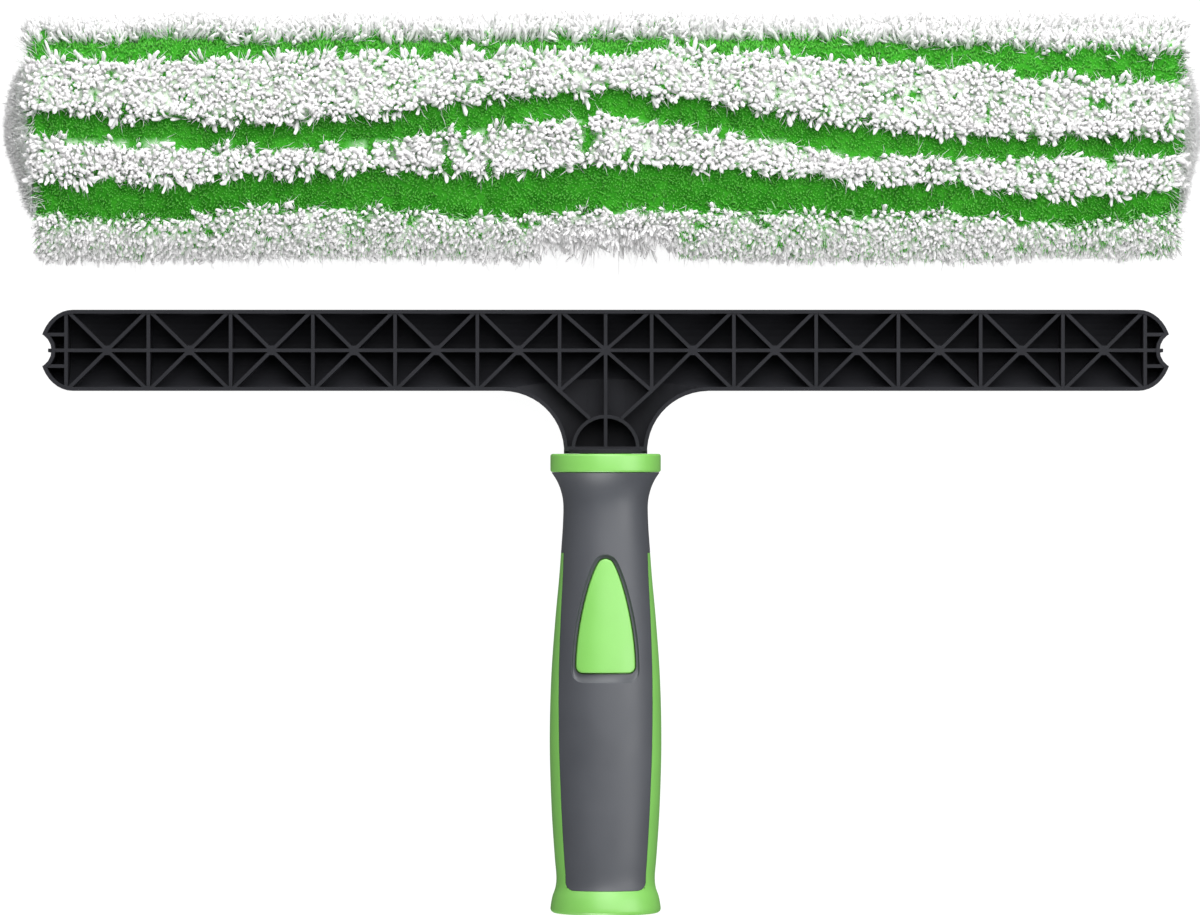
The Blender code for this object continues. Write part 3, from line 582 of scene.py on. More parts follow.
def make_inlay(paint):
    edge = 0.3 * MM
    rings = [[(x, y, AXIS_Z + 5 * MM) for x, y in inlay_outline(0.0)]]
    for turn in np.radians(np.linspace(0, 90, 5)):
        sunk = INLAY_SUNK + edge * (1 - math.sin(turn))
        outline = inlay_outline(-edge * (1 - math.cos(turn)))
        rings.append([(x, y, surface_z(x, y, sunk)) for x, y in outline])
    outline = inlay_outline(-edge)
    middle = BAR_Y - (0.35 * INLAY_TIP + 0.65 * INLAY_BOTTOM)
    for size in (0.97, 0.9, 0.8, 0.65, 0.5, 0.35, 0.2, 0.08):
        ring = [(x * size, middle + (y - middle) * size) for x, y in outline]
        rings.append([(x, y, surface_z(x, y, INLAY_SUNK)) for x, y in ring])
    inlay = helper("inlay_fine", lofted(rings))
    as_object("inlay", baked(inlay, 50.0), paint, "handle", ["thumb_inlay"])


def make_core(paint):
    foot = HANDLE_END - BASE_EDGE
    edge = arc((foot, float(radius_at(foot)) - BASE_EDGE), (BASE_EDGE, BASE_EDGE), 90, 0, 8)[1:]
    outside = [(COLLAR_TOP + GAP, COLLAR_RADIUS), (GRIP_TOP, COLLAR_RADIUS)]
    outside += profile_between(GRIP_TOP + MM, foot) + edge
    core = helper("core_fine", turned(outside))
    space = helper("core_space", prism(panel_outline(GAP), -2 * MM, 60 * MM))
    surface = helper("core_surface", turned(core_profile()))
    boolean(space, surface)
    boolean(core, space)
    end = HANDLE_END
    bottom = (end - SOCKET_DEPTH, SOCKET_BOTTOM_RADIUS)
    mouth = (end - 1.0 * MM, SOCKET_MOUTH_RADIUS)
    chamfer = [(end, SOCKET_MOUTH_RADIUS + 0.6 * MM), (end + 2 * MM, SOCKET_MOUTH_RADIUS + 0.8 * MM)]
    boolean(core, helper("core_socket", turned([bottom, mouth] + chamfer, oval=False)))
    bevel(core, 0.25 * MM, 3, 30.0)
    mesh = baked(core)
    bpy.data.objects.remove(surface, do_unlink=True)
    as_object("core", mesh, paint, "handle", ["handle_core"])


# -------------------- sleeve shapes

def smooth(t):
    t = np.clip(t, 0, 1)
    return t * t * (3 - 2 * t)


def outline_angle(place, lower):
    share = min(abs(place) / PILE_HALF_WIDTH, 1.0) ** (OUTLINE_POWER / 2)
    angle = math.acos(-math.copysign(share, place))
    return 2 * math.pi - angle if lower else angle


def outline_points(angle):
    """The superellipse that bounds the pile, as places across and heights."""
    c, s = np.cos(angle), np.sin(angle)
    across = -np.sign(c) * np.abs(c) ** (2 / OUTLINE_POWER)
    rise = np.sign(s) * np.abs(s) ** (2 / OUTLINE_POWER)
    height = np.where(rise > 0, OUTLINE_RISE, OUTLINE_CENTRE_Z)
    return PILE_HALF_WIDTH * across, OUTLINE_CENTRE_Z + height * rise


def backing_points(y, z):
    """The nearest places just off the backing's outer surface."""
    y = np.maximum(y, LIP_EDGE - 0.9 * MM)
    middle = (CAVITY_LOW + CAVITY_HIGH) / 2
    radius = (CAVITY_HIGH - CAVITY_LOW) / 2 + CLOTH + GAP
    length = np.maximum(np.hypot(y - FOLD_CENTRE, z - middle), 1e-9)
    flat = y <= FOLD_CENTRE
    side = np.sign(z - middle)
    root_y = np.where(flat, y, FOLD_CENTRE + (y - FOLD_CENTRE) * radius / length)
    root_z = middle + np.where(flat, side * radius, (z - middle) * radius / length)
    return root_y, root_z


MOUTH_START = outline_angle(MOUTH_TIP_UPPER, False)
MOUTH_END = outline_angle(MOUTH_TIP_LOWER, True)


def white_depth(x, y, above):
    """Distance of a place in plan into its white band, below 0 on a green stripe."""
    depth = np.full(np.shape(x), 20 * MM)
    for row, stripes in ((True, STRIPES_ABOVE), (False, STRIPES_BELOW)):
        for _, middles, halves in stripes:
            middle = np.interp(x / MM, STRIPE_X, middles) * MM
            half = np.interp(x / MM, STRIPE_X, halves) * MM
            depth = np.where(above == row, np.minimum(depth, np.abs(y - middle) - half), depth)
    ragged = 0.9 * soft_noise(x, y, 5 * MM, 31) + 0.7 * soft_noise(x, y, 2.4 * MM, 32)
    return depth + ragged * MM


def body_points(x, angle):
    """The plush body's surface, the outward way of its pile, the pile's height and the white depth."""
    top_y, top_z = outline_points(angle)
    root_y, root_z = backing_points(top_y, top_z)
    out_y, out_z = top_y - root_y, top_z - root_z
    depth = white_depth(x, root_y + out_y * 0.85, angle < math.pi)
    share = GREEN_SHARE + (WHITE_SHARE - GREEN_SHARE) * smooth((depth - 0.8 * MM) / (2.5 * MM))
    s = angle * RUN_PER_TURN
    swell = 1.0 + 0.09 * soft_noise(x, s, 24 * MM, 5) + 0.04 * soft_noise(x, s, 9 * MM, 6)
    y = root_y + out_y * share * swell
    z = root_z + out_z * share * swell
    reach = np.hypot(out_y, out_z)
    near = 1.0 - smooth((np.abs(x) - NECK_NOTCH) / (5 * MM))
    limit = np.where(angle < math.pi, NOTCH_UPPER, NOTCH_LOWER) + 0.4 * MM
    back = np.maximum(limit - y, 0.0) * near
    return y + back, z, out_y / reach, out_z / reach, reach * (1 - share) + 0.8 * back, depth


def end_pull(x):
    """How far the plush is rounded off towards its two ends."""
    end = np.clip((PILE_HALF_LENGTH - np.abs(x)) / (4.5 * MM), 0, 1)
    return (1 - np.sqrt(1 - (1 - end) ** 2)) * 4.0 * MM


def thinness(x, angle):
    """Random field that says where the white pile stands thin, below about -0.4."""
    s = angle * RUN_PER_TURN
    u, v = 0.8 * x + 0.6 * s, 0.8 * s - 0.6 * x
    fringe = np.where(angle < math.pi, smooth((0.62 - (angle - MOUTH_START)) / 0.3), 0.0)
    ragged = 0.5 * fringe * np.minimum(soft_noise(x, s, 15 * MM, 43) + 0.25, 0.0)
    worn = 0.05 * smooth((x - 10 * MM) / (80 * MM))
    return 0.5 * soft_noise(u, v, 3 * MM, 41) + 0.5 * soft_noise(u, v, 1.6 * MM, 42) + ragged - worn


def end_shift(points):
    """Draws the ends in towards the mouth, more on the left, so that they stand askew."""
    x, y = points[..., 0], points[..., 1] - SLEEVE_Y
    near = smooth((np.abs(x) - 140 * MM) / (40 * MM))
    amount = np.where(x < 0, 3.4 * MM, 2.2 * MM) * smooth((12 * MM - y) / (42 * MM)) + 0.8 * MM
    points[..., 0] = x - np.sign(x) * near * amount
    return points


def make_body(paint):
    """The plush under all of the pile: one skin round the backing, from lip to lip."""
    step = 1.0 * MM
    angles = np.linspace(MOUTH_START, MOUTH_END, 130)
    xs = np.arange(-PILE_HALF_LENGTH, PILE_HALF_LENGTH + step / 2, step)
    grid_x, grid_a = np.meshgrid(xs, angles, indexing="ij")
    y, z, out_y, out_z, _, depth = body_points(grid_x, grid_a)
    rough = 0.40 * MM * soft_noise(grid_x, grid_a * RUN_PER_TURN, 2.2 * MM, 11)
    rough += 0.20 * MM * soft_noise(grid_x, grid_a * RUN_PER_TURN, 1.1 * MM, 12)
    pull = end_pull(grid_x)
    y, z = y + out_y * (rough - pull), z + out_z * (rough - pull)
    z = np.maximum(z, 0.8 * MM)
    outer = np.stack([grid_x, SLEEVE_Y + y, z], -1)
    root_y, root_z = backing_points(*outline_points(grid_a))
    lift = 0.15 * MM
    inner = np.stack([grid_x, SLEEVE_Y + root_y + out_y * lift, root_z + out_z * lift], -1)
    points = np.concatenate([end_shift(outer).reshape(-1, 3), end_shift(inner).reshape(-1, 3)])
    mesh = mesh_of("plush_body", points, skin_faces(*grid_x.shape))
    flip_outward(mesh)
    full = smooth((thinness(grid_x, grid_a) + 0.56) / 0.16)
    white = (smooth((depth - SKIN_WHITE_FROM) / (1.6 * MM)) * full).ravel()
    layer = mesh.attributes.new("white", "FLOAT", "POINT")
    layer.data.foreach_set("value", np.concatenate([white, white]).astype(np.float32))
    bands = ["upper_mouth", "upper_middle", "upper_back", "lower_back", "lower_mouth"]
    replaced = [f"green_{band}" for band in bands]
    as_object("plush_body", mesh, paint, "sleeve", replaced)


def skin_faces(rows, columns):
    """Quads of a closed sheet: a grid of points, a second grid behind it, and the rim between them."""
    index = np.arange(rows * columns).reshape(rows, columns)
    behind = rows * columns
    corners = [index[:-1, :-1], index[:-1, 1:], index[1:, 1:], index[1:, :-1]]
    quads = np.stack(corners, -1).reshape(-1, 4)
    rim = np.concatenate([index[:, 0], index[-1, 1:], index[-2::-1, -1], index[0, -2:0:-1]])
    following = np.roll(rim, -1)
    edge = np.stack([rim, following, following + behind, rim + behind], -1)
    return np.concatenate([quads, quads[:, ::-1] + behind, edge])


def flip_outward(mesh):
    shape = bmesh.new()
    shape.from_mesh(mesh)
    bmesh.ops.recalc_face_normals(shape, faces=shape.faces)
    shape.to_mesh(mesh)
    shape.free()


# -------------------- tufts

def unit(v):
    return v / np.maximum(np.linalg.norm(v, axis=-1, keepdims=True), 1e-12)


def make_strands(name, paint, tufts, sides, stations, shape, seed, replaces=(), rough=0.16, askew=True):
    """Many curved, tapering tufts as one piece, each closed, with its own strip of the map."""
    roots, ways, lengths, radii, bends = tufts
    rng = np.random.default_rng(seed)
    n, rings = len(roots), len(stations)
    t = np.asarray(stations)[None, :, None]
    centre = roots[:, None] + (ways[:, None] * t + bends[:, None] * t * t) * lengths[:, None, None]
    centre = centre + rng.normal(0, KINK, (n, rings, 3)) * t * radii[:, None, None]
    way = unit(ways[:, None] + 2 * bends[:, None] * t)
    aid = np.where(np.abs(ways[:, 2:3]) > 0.8, [[1.0, 0, 0]], [[0, 0, 1.0]])[:, None]
    side = unit(np.cross(way, aid))
    other = np.cross(way, side)
    turn = rng.uniform(0, 2 * math.pi, (n, 1, 1)) + 0.6 * t
    around = turn + (np.arange(sides) * 2 * math.pi / sides)[None, None, :]
    thick = radii[:, None, None] * np.asarray(shape)[None, :, None]
    thick = thick * (1 + rough * rng.uniform(-1, 1, (n, rings, sides)))
    ring = centre[:, :, None] + thick[..., None] * (
        np.cos(around)[..., None] * side[:, :, None] + np.sin(around)[..., None] * other[:, :, None])
    tip = roots + (ways + bends) * lengths[:, None]
    points = np.concatenate([ring.reshape(n, -1, 3), tip[:, None]], 1)
    height = points[..., 2]
    laid = 0.3 * MM + 0.6 * MM * np.exp((np.minimum(height, 0.9 * MM) - 0.9 * MM) / (2 * MM))
    points[..., 2] = np.where(height < 0.9 * MM, laid, height)
    if askew:
        points = end_shift(points)
    per = rings * sides + 1
    k = np.arange(sides)
    nxt = (k + 1) % sides
    band = np.stack([k, nxt, sides + nxt, sides + k], -1)
    local = np.concatenate([band + r * sides for r in range(rings - 1)])
    last = (rings - 1) * sides
    cap = np.stack([last + k, last + nxt, np.full(sides, rings * sides)], -1)
    base = k[None, ::-1]
    offsets = (np.arange(n) * per)[:, None, None]
    quads = (local[None] + offsets).reshape(-1, 4)
    tris = (cap[None] + offsets).reshape(-1, 3)
    bottoms = (base[None] + offsets).reshape(-1, sides)
    mesh = mesh_of(name, points.reshape(-1, 3), quads, tris, bottoms)
    along = np.concatenate([np.repeat(np.asarray(stations), sides), [1.0]])
    tone = rng.uniform(0.02, 0.98, n)
    per_point = np.stack([np.tile(0.01 + 0.98 * along, n), np.repeat(tone, per)], -1)
    corners = np.zeros(len(mesh.loops), np.int32)
    mesh.loops.foreach_get("vertex_index", corners)
    layer = mesh.uv_layers.new(name="OFBake")
    layer.data.foreach_set("uv", per_point[corners].astype(np.float32).ravel())
    return as_object(name, mesh, paint, "sleeve", replaces)


def scattered(spacing, seed):
    """Places for tufts over the whole plush body: x and the outline's angle, evenly spread by area."""
    rng = np.random.default_rng(seed)
    fine = np.linspace(MOUTH_START + 0.002, MOUTH_END - 0.002, 2000)
    y, z = body_points(np.full(2000, 100 * MM), fine)[:2]
    run = np.concatenate([[0], np.cumsum(np.hypot(np.diff(y), np.diff(z)))])
    rows = int(run[-1] / (spacing * 0.87))
    columns = int(2 * PILE_HALF_LENGTH / spacing)
    u, v = np.meshgrid(np.arange(columns), np.arange(rows), indexing="ij")
    u = (u + 0.5 * (v % 2) + rng.uniform(-0.42, 0.42, u.shape)) / columns
    v = (v + 0.5 + rng.uniform(-0.42, 0.42, v.shape)) / rows
    x = (-PILE_HALF_LENGTH + 2 * PILE_HALF_LENGTH * u).ravel()
    keep = np.abs(x) < PILE_HALF_LENGTH - 0.4 * MM
    angle = np.interp(v.ravel() * run[-1], run, fine)
    return x[keep], angle[keep]


def band_of(x, angle):
    """Which band of the CAD model a place on the white pile belongs to."""
    y = body_points(x, angle)[0]
    middles = {name: np.interp(x / MM, STRIPE_X, values) * MM
               for name, values, _ in STRIPES_ABOVE + STRIPES_BELOW}
    upper = np.select(
        [y < middles["mouth"], y < middles["middle"], y < middles["back"]], [0, 1, 2], 3)
    lower = np.select([y > middles["lower_back"], y > middles["lower_mouth"]], [4, 5], 6)
    return np.where(angle < math.pi, upper, lower)


BANDS = ("pile_upper_mouth", "pile_upper_middle", "pile_upper_back", "pile_fold_upper",
         "pile_fold_lower", "pile_lower_back", "pile_lower_mouth")


def pile_at(x, angle, seed, lean_mean, lean_spread):
    """Root, direction, free height and lean of the pile at each place, alike within a clump."""
    rng = np.random.default_rng(seed)
    y, z, out_y, out_z, free, _ = body_points(x, angle)
    n = len(x)
    out = np.stack([np.zeros(n), out_y, out_z], -1)
    across = np.stack([np.zeros(n), -out_z, out_y], -1)
    along = np.tile([1.0, 0, 0], (n, 1))
    s = angle * RUN_PER_TURN
    swirl = 2.4 * math.pi * soft_noise(x, s, 6.5 * MM, seed + 1) + rng.normal(0, 0.7, n)
    tilt = lean_mean + 1.1 * lean_spread * soft_noise(x, s, 3.5 * MM, seed + 2)
    tilt = tilt + rng.normal(0, 0.6 * lean_spread, n)
    lean = np.radians(np.clip(tilt, 3, 70))
    aside = along * np.cos(swirl)[:, None] + across * np.sin(swirl)[:, None]
    way = out * np.cos(lean)[:, None] + aside * np.sin(lean)[:, None]
    end = smooth((np.abs(x) - (PILE_HALF_LENGTH - 8 * MM)) / (8 * MM))
    way = way + along * (np.sign(x) * end * 0.7)[:, None]
    flat_top = (angle < math.pi) * smooth((30 * MM - np.abs(y)) / (10 * MM))
    way = unit(way + np.array([0.08, -0.24, 0])[None] * flat_top[:, None])
    roots = np.stack([x, SLEEVE_Y + y, z], -1) - out * (0.9 * MM + end_pull(x))[:, None]
    return roots, way, free, lean


def picked(tufts, pick):
    return [values[pick] for values in tufts]


def frayed(tufts, count, seed):
    """Fine fibres that leave each tuft on its own way, a little splayed."""
    rng = np.random.default_rng(seed)
    roots, ways, lengths, radii, bends = (np.repeat(values, count, axis=0) for values in tufts)
    n = len(roots)
    roots = roots + rng.normal(0, 0.45, (n, 3)) * radii[:, None]
    ways = unit(ways + rng.normal(0, 0.30, (n, 3)))
    lengths = lengths * rng.uniform(0.80, 1.12, n)
    bends = bends * 0.7 + rng.normal(0, 0.16, (n, 3))
    return [roots, ways, lengths, rng.uniform(0.08, 0.14, n) * MM, bends]


def make_tufts(paint, fibre_paint):
    spacing = 1.26 * MM
    x, angle = scattered(spacing, 101)
    y, *_, depth = body_points(x, angle)
    rng = np.random.default_rng(102)
    dense = y > FOLD_FROM
    keep = (rng.uniform(0, 1, len(x)) < smooth((thinness(x, angle) + 0.64) / 0.28)) | dense
    keep &= depth > np.where(dense, 0.3 * MM, OVERHANG)
    keep &= ~((angle > math.pi * 1.12) & (rng.uniform(0, 1, len(x)) < 0.30))
    x, angle = x[keep], angle[keep]
    roots, way, free, lean = pile_at(x, angle, 103, 22, 14)
    n = len(x)
    clump = 1.0 + 0.20 * soft_noise(x, angle * RUN_PER_TURN, 3.6 * MM, 44)
    lengths = ((free + 1.0 * MM) / np.maximum(np.cos(lean), 0.75)).clip(2.7 * MM, 5.6 * MM)
    lengths = np.maximum(lengths, free + 0.5 * MM)
    lengths = lengths * rng.uniform(0.82, 1.10, n) * clump
    band = band_of(x, angle)
    finer = np.isin(band, (0, 3, 4, 6))
    radii = rng.normal(0.56, 0.10, n).clip(0.34, 0.85) * MM * np.where(finer, 0.85, 1.0)
    bends = unit(rng.normal(0, 1, (n, 3))) * rng.uniform(0.08, 0.42, (n, 1))
    neck = (np.abs(x) < NECK_NOTCH + 3 * MM) & (roots[:, 1] < SLEEVE_Y - 24 * MM)
    lengths = lengths * (1.0 + 0.08 * neck)
    tufts = [roots, way, lengths, radii, bends]
    stations, shape, white = (0.0, 0.45, 0.75, 0.95), (0.75, 1.05, 1.15, 0.8), "white_microfibre"
    for number, name in enumerate(BANDS):
        pick = (band == number) & ~neck
        halves = [("", pick)]
        if pick.sum() >= MOST_TUFTS:
            halves = [("_left", pick & (x < 0)), ("_right", pick & (x >= 0))]
        for order, (half, chosen) in enumerate(halves):
            make_strands(f"{name}{half}_tufts", paint, picked(tufts, chosen), 5, stations, shape,
                         200 + number, [] if order else [name], rough=0.24)
        count = 3 if "lower" in name else 5
        for half, chosen in halves:
            some = frayed(picked(tufts, chosen), count, 240 + number)
            make_strands(f"{name}{half}_fibres", fibre_paint, some, 3, (0.0, 0.6), (1.0, 0.8),
                         250 + number)
    for part, test in (("upper", angle < math.pi), ("lower", angle >= math.pi)):
        some = picked(tufts, neck & test)
        piece = make_strands(f"pile_neck_{part}_tufts", paint, some, 5, stations, shape, 220)
        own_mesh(piece)
        fringe = frayed(some, 7, 225)
        fringe[0] = fringe[0] + rng.normal(0, 0.5 * MM, fringe[0].shape) * np.array([1.0, 0.0, 0.4])
        piece = make_strands(f"pile_neck_{part}_fibres", fibre_paint, fringe, 3, (0.0, 0.4, 0.75),
                             (1.0, 1.0, 0.7), 230)
        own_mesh(piece)


def make_nap(paint):
    """Short green tufts that stand on the plush body between the white bands."""
    spacing = 0.88 * MM
    x, angle = scattered(spacing, 301)
    y, *_, depth = body_points(x, angle)
    neck = (np.abs(x) < NECK_NOTCH + 3 * MM) & (y < -23 * MM)
    rng = np.random.default_rng(302)
    thin = (thinness(x, angle) < -0.34) & (rng.uniform(0, 1, len(x)) < 0.75) & (y < FOLD_FROM)
    keep = ((depth < OVERHANG + 1.7 * MM) | thin) & ~neck
    x, angle = x[keep], angle[keep]
    roots, way, *_ = pile_at(x, angle, 303, 20, 12)
    n = len(x)
    lengths = rng.uniform(1.9, 2.6, n) * MM
    radii = rng.uniform(0.26, 0.40, n) * MM
    bends = unit(rng.normal(0, 1, (n, 3))) * rng.uniform(0.05, 0.3, (n, 1))
    for part, pick in (("upper", angle < math.pi), ("lower", angle >= math.pi)):
        for half, side in (("left", x < 0), ("right", x >= 0)):
            some = picked([roots, way, lengths, radii, bends], pick & side)
            make_strands(f"green_nap_{part}_{half}", paint, some, 3,
                         (0.0, 0.7), (1.0, 0.8), 310)


WISP_STATIONS, WISP_SHAPE = (0.0, 0.4, 0.75), (1.0, 1.0, 0.6)


def make_wisps(paint, green_paint):
    """Long fine fibres that stand out round the sleeve's outline and make its edge soft."""
    x, angle = scattered(1.1 * MM, 401)
    y, z, *_, depth = body_points(x, angle)
    ends = np.abs(x) > 176 * MM
    rim = ((y > FOLD_FROM) | (y < -28 * MM) | ends) & ((depth > 0) | ends) & (z > 8 * MM)
    neck = (np.abs(x) < NECK_NOTCH + 4 * MM) & (y < 0)
    x, angle = x[rim & ~neck], angle[rim & ~neck]
    rng = np.random.default_rng(402)
    roots, way, free, _ = pile_at(x, angle, 403, 30, 16)
    n = len(x)
    lengths = (free + 0.9 * MM + rng.uniform(0.3, 2.2, n) * MM).clip(2 * MM, 7.5 * MM)
    radii = rng.uniform(0.07, 0.13, n) * MM
    bends = unit(rng.normal(0, 1, (n, 3))) * rng.uniform(0.1, 0.45, (n, 1))
    wisps = [roots, way, lengths, radii, bends]
    for half, pick in (("left", x < 0), ("right", x >= 0)):
        make_strands(f"pile_wisps_{half}", paint, picked(wisps, pick), 3,
                     WISP_STATIONS, WISP_SHAPE, 404)
    x, angle = scattered(1.2 * MM, 411)
    y, *_, depth = body_points(x, angle)
    fringe = (angle < math.pi) & (y < -22 * MM) & (depth > 0) & (np.abs(x) > NECK_NOTCH + 4 * MM)
    fringe &= soft_noise(x, y, 12 * MM, 412) > -0.2
    x, angle = x[fringe], angle[fringe]
    rng = np.random.default_rng(413)
    roots, way, free, _ = pile_at(x, angle, 414, 24, 14)
    n = len(x)
    lengths = free + rng.uniform(0.2, 1.6, n) * MM
    radii = rng.uniform(0.16, 0.30, n) * MM
    bends = unit(rng.normal(0, 1, (n, 3))) * 0.25
    wisps = [roots, way, lengths, radii, bends]
    make_strands("green_wisps", green_paint, wisps, 3, WISP_STATIONS, WISP_SHAPE, 415)


# -------------------- sleeve cloth

def tube_section(thick, steps=40):
    middle = (CAVITY_LOW + CAVITY_HIGH) / 2
    radius = (CAVITY_HIGH - CAVITY_LOW) / 2 + thick
    run = np.linspace(LIP_EDGE, FOLD_CENTRE, 30)
    fold = np.array(arc((FOLD_CENTRE, middle), (radius, radius), -90, 90, steps))
    low = np.stack([run, np.full(30, middle - radius)], -1)
    high = np.stack([run[::-1], np.full(30, middle + radius)], -1)
    return np.concatenate([low[:-1], fold, high[1:]])


def make_backing(paint):
    outer, inner = tube_section(CLOTH), tube_section(0.0)
    xs = np.linspace(-TUBE_HALF_LENGTH, TUBE_HALF_LENGTH, 180)
    count = len(outer)
    grid_x, place = np.meshgrid(xs, np.arange(count) * 3 * MM, indexing="ij")
    wave = 0.12 * MM * soft_noise(grid_x, place, 14 * MM, 61)
    layers = []
    for section in (outer, inner):
        y = SLEEVE_Y + np.tile(section[:, 0], (len(xs), 1))
        z = np.tile(section[:, 1], (len(xs), 1)) + wave
        layers.append(np.stack([grid_x, y, z], -1).reshape(-1, 3))
    mesh = mesh_of("backing_cloth", np.concatenate(layers), skin_faces(len(xs), count))
    flip_outward(mesh)
    cloth = as_object("backing_cloth", mesh, paint, "sleeve", ["sleeve_backing"])


def make_end_panels(paint, fibre_paint):
    outline = tube_section(CLOTH, 24)
    closed = np.concatenate([outline, np.linspace(outline[-1], outline[0], 14)[1:-1]])
    middle = closed.mean(0)
    start = TUBE_HALF_LENGTH + GAP
    for name, side, reach in (("end_panel_left", -1, 7.4 * MM), ("end_panel_right", 1, 5.4 * MM)):
        rings = []
        for size in np.linspace(1.0, 0.05, 24):
            dome = reach * math.sqrt(max(1 - size**3.0, 0.0))
            ring = middle + (closed - middle) * size
            slant = 0.22 + 0.78 * smooth((ring[:, 0] + 25 * MM) / (30 * MM))
            crease = 0.7 * MM * soft_noise(ring[:, 0], ring[:, 1], 7 * MM, 71) * (1 - size)
            out = np.maximum(dome * slant + crease, 0.0)
            rings.append([(side * (start + o), SLEEVE_Y + y, z) for (y, z), o in zip(ring, out)])
        back = [[(side * start, SLEEVE_Y + y, z) for y, z in middle + (closed - middle) * 0.995]]
        mesh = baked(helper(name + "_fine", lofted(back + rings)), 60.0)
        places = np.array([p for ring in rings[1:] for p in ring])
        as_object(name + "_cloth", mesh, paint, "sleeve", [name])
        rng = np.random.default_rng(500 + side)
        n = FELT_FIBRES
        chosen = rng.integers(0, len(places), n)
        roots = places[chosen] + rng.normal(0, 0.5, (n, 3)) * MM * np.array([0.2, 1, 1])
        sideways, upwards = rng.normal(0, 0.7, n), rng.normal(0.5, 0.7, n)
        ways = unit(np.stack([np.full(n, side * 0.8), sideways, upwards], -1))
        lengths, radii = rng.uniform(1.4, 2.6, n) * MM, rng.uniform(0.10, 0.18, n) * MM
        felt = [roots - ways * 0.5 * MM, ways, lengths, radii, rng.normal(0, 0.3, (n, 3))]
        make_strands(name + "_felt", fibre_paint, felt, 3, (0.0, 0.6), (1.0, 0.8),
                     510 + side, askew=False)


def make_bindings(paint):
    for name, low, high in (
        ("lip_binding_upper", CAVITY_HIGH, CAVITY_HIGH + CLOTH),
        ("lip_binding_lower", CAVITY_LOW - CLOTH, CAVITY_LOW),
    ):
        middle, half = (low + high) / 2, (high - low) / 2 + 0.3 * MM
        thick = 0.6 * MM
        nose = LIP_EDGE - 0.3 * MM
        hem = -21 * MM
        inner = arc((nose, middle), (0.25 * MM, half), -90, -270, 8)
        outer = arc((nose, middle), (0.25 * MM + thick, half + thick), 90, 270, 10)
        section = [(hem, middle - half)] + inner + [(hem, middle + half)]
        section += [(hem, middle + half + thick)] + outer + [(hem, middle - half - thick)]
        xs = np.linspace(-TUBE_HALF_LENGTH, TUBE_HALF_LENGTH, 240)
        rings = []
        for x in xs:
            wave = 0.10 * MM * float(soft_noise(x, 0.0, 5 * MM, 81))
            rings.append([(x, SLEEVE_Y + y, z + wave) for y, z in section])
        mesh = baked(helper(name + "_fine", lofted(rings)), 50.0)
        as_object(name + "_tape", mesh, paint, "sleeve", [name])


def stubble(name, corners, height, away, spacing, length, radius, curl, paint, seed):
    """Rows of small stiff hooks or soft loops on the face of a tape."""
    rng = np.random.default_rng(seed)
    (x0, y0), (x1, y1) = corners
    along, across = np.arange(x0 + spacing / 2, x1, spacing), np.arange(y0 + spacing / 2, y1, spacing)
    xs, ys = np.meshgrid(along, across)
    n = xs.size
    shake = rng.uniform(-0.2, 0.2, (2, n)) * spacing
    roots = np.stack([xs.ravel() + shake[0], SLEEVE_Y + ys.ravel() + shake[1], np.full(n, height)], -1)
    ways = unit(np.stack([rng.normal(0, 0.15, n), rng.normal(0, 0.15, n), np.full(n, away)], -1))
    bends = curl * unit(rng.normal(0, 1, (n, 3)) * np.array([1, 1, 0]))
    tufts = [roots, ways, np.full(n, length), np.full(n, radius), bends]
    make_strands(name, paint, tufts, 4, (0.0, 0.5, 0.9), (0.8, 0.7, 1.2), seed, askew=False)


def make_strips(hook_paint, loop_paint, hook_yarn, loop_yarn):
    base = 0.4 * MM
    near_y, far_y = STRIP_EDGES
    for side, half in ((-1, "left"), (1, "right")):
        near, far = sorted(side * end for end in STRIP_ENDS)
        corners = ((near, near_y), (far, far_y))
        for kind, paint, low, slot in (
            ("hook_strip", hook_paint, CAVITY_HIGH - GAP - base, "hook_tape"),
            ("loop_strip", loop_paint, CAVITY_LOW + GAP, "loop_tape"),
        ):
            outline = [(near, near_y), (far, near_y), (far, far_y), (near, far_y)]
            tape = helper("tape", prism([(x, SLEEVE_Y + y) for x, y in outline], low, low + base))
            bevel(tape, 0.12 * MM, 2, 30)
            as_object(f"{kind}_{half}_tape", baked(tape), paint, "sleeve", [f"{kind}_{half}"])
        face = CAVITY_HIGH - GAP - base + 0.05 * MM
        stubble(f"hook_strip_{half}_hooks", corners, face, -1.0, 1.1 * MM,
                0.5 * MM, 0.14 * MM, 0.5, hook_yarn, 600 + side)
        face = CAVITY_LOW + GAP + base - 0.05 * MM
        stubble(f"loop_strip_{half}_loops", corners, face, 1.0, 0.8 * MM,
                0.55 * MM, 0.10 * MM, 0.9, loop_yarn, 610 + side)


# -------------------- all

make_camera()
make_studio()

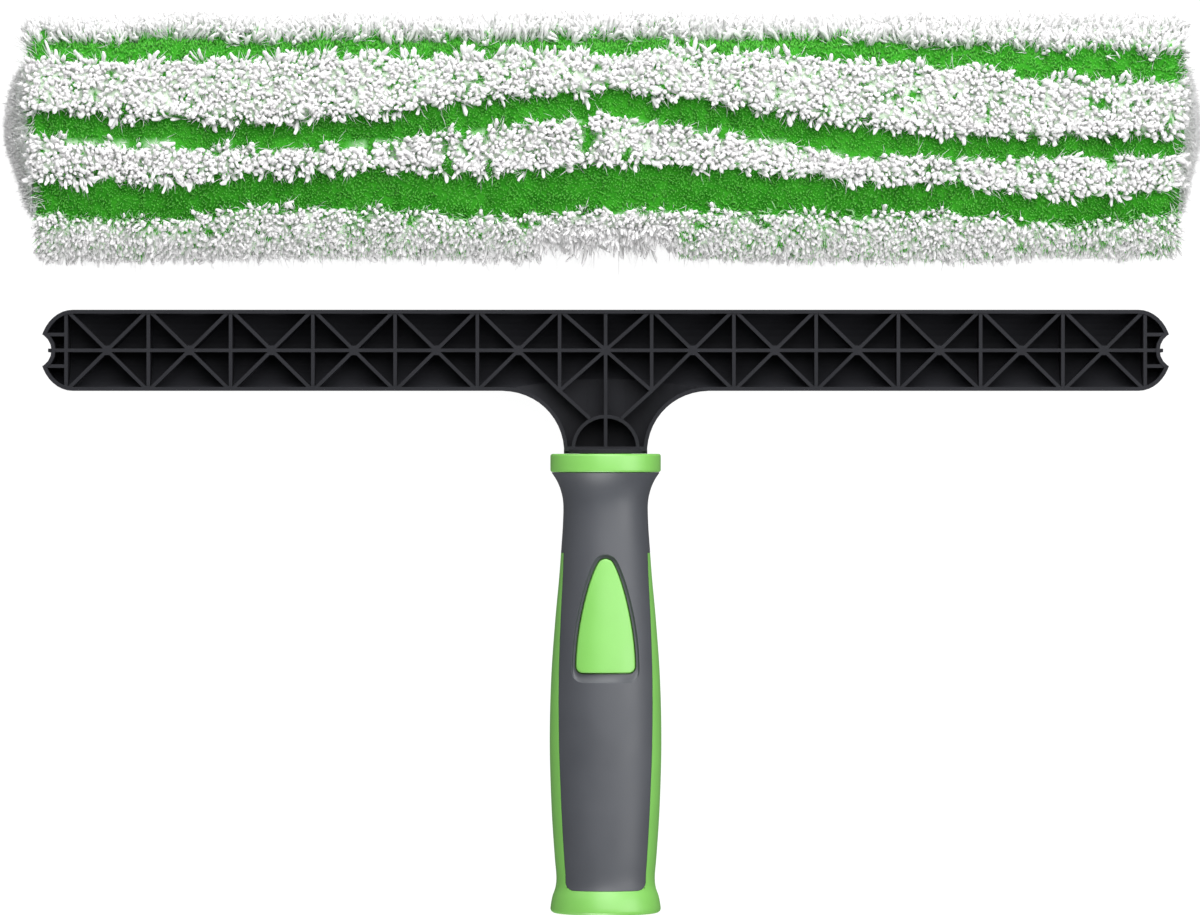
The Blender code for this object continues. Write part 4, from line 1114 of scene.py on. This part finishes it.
black = plastic("black_plastic_look", (0.025, 0.0255, 0.0295), 0.5, 0.3, 1500.0, 0.10, 0.06, 0.25 * MM)
green = plastic("green_plastic_look", (0.225, 0.60, 0.11), 0.42, 0.12, 1800.0, 0.03, 0.9)
grey = plastic("grey_rubber_look", (0.066, 0.071, 0.083), 0.5, 0.3, 2200.0, 0.05, 0.75, 0.2 * MM)
steel, steel_shader = new_material("steel_look", (0.6, 0.6, 0.62), 0.3)
steel_shader.inputs["Metallic"].default_value = 1.0
steel_noise = noise_at(steel, 700.0)
bump(steel, steel_shader, steel_noise.outputs["Fac"], 0.03 * MM, 0.3)
# Pile colours go root, middle, tip: painted shade at the root and a painted highlight tint at the tip.
white_yarn = yarn("white_yarn_look", (0.87, 0.95, 0.85), (0.905, 0.92, 0.905), (0.895, 0.88, 0.89))
fibre_yarn = yarn("white_fibre_look", (0.86, 0.95, 0.84), (0.92, 0.93, 0.92), (0.93, 0.92, 0.93))
green_yarn = yarn("green_yarn_look", (0.04, 0.30, 0.015), (0.075, 0.46, 0.03), (0.13, 0.62, 0.07),
                  sheen=0.25, sheen_tint=(0.6, 1.0, 0.5))
light_green_yarn = yarn("green_fibre_look", (0.10, 0.50, 0.07), (0.30, 0.76, 0.24), (0.50, 0.86, 0.44))
plush = velour("green_plush_look", (0.025, 0.26, 0.012), (0.05, 0.38, 0.02), (0.78, 0.94, 0.75),
               (0.5, 1.0, 0.4))
backing = woven("green_backing_look", (0.02, 0.16, 0.01), (0.08, 0.40, 0.05))
fleece = woven("pale_grey_look", (0.84, 0.86, 0.87), (0.93, 0.94, 0.95), 0.4 * MM)
hook_yarn = yarn("hook_look", (0.5, 0.51, 0.51), (0.62, 0.63, 0.63), (0.7, 0.71, 0.71), 0.5)
hooks = woven("hook_tape_look", (0.40, 0.41, 0.41), (0.66, 0.67, 0.67), 0.7 * MM)
loops = woven("loop_tape_look", (0.60, 0.61, 0.60), (0.80, 0.81, 0.80), 0.5 * MM)

for name, paint in (("t_bar_head", black), ("tang_pin", steel)):
    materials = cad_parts[name].data.materials
    materials.clear()
    materials.append(paint)
make_collar(green)
make_grip(grey)
make_inlay(green)
make_core(green)
make_body(plush)
make_tufts(white_yarn, fibre_yarn)
make_nap(green_yarn)
make_wisps(fibre_yarn, light_green_yarn)
make_backing(backing)
make_end_panels(fleece, fibre_yarn)
make_bindings(fleece)
make_strips(hooks, loops, hook_yarn, fibre_yarn)
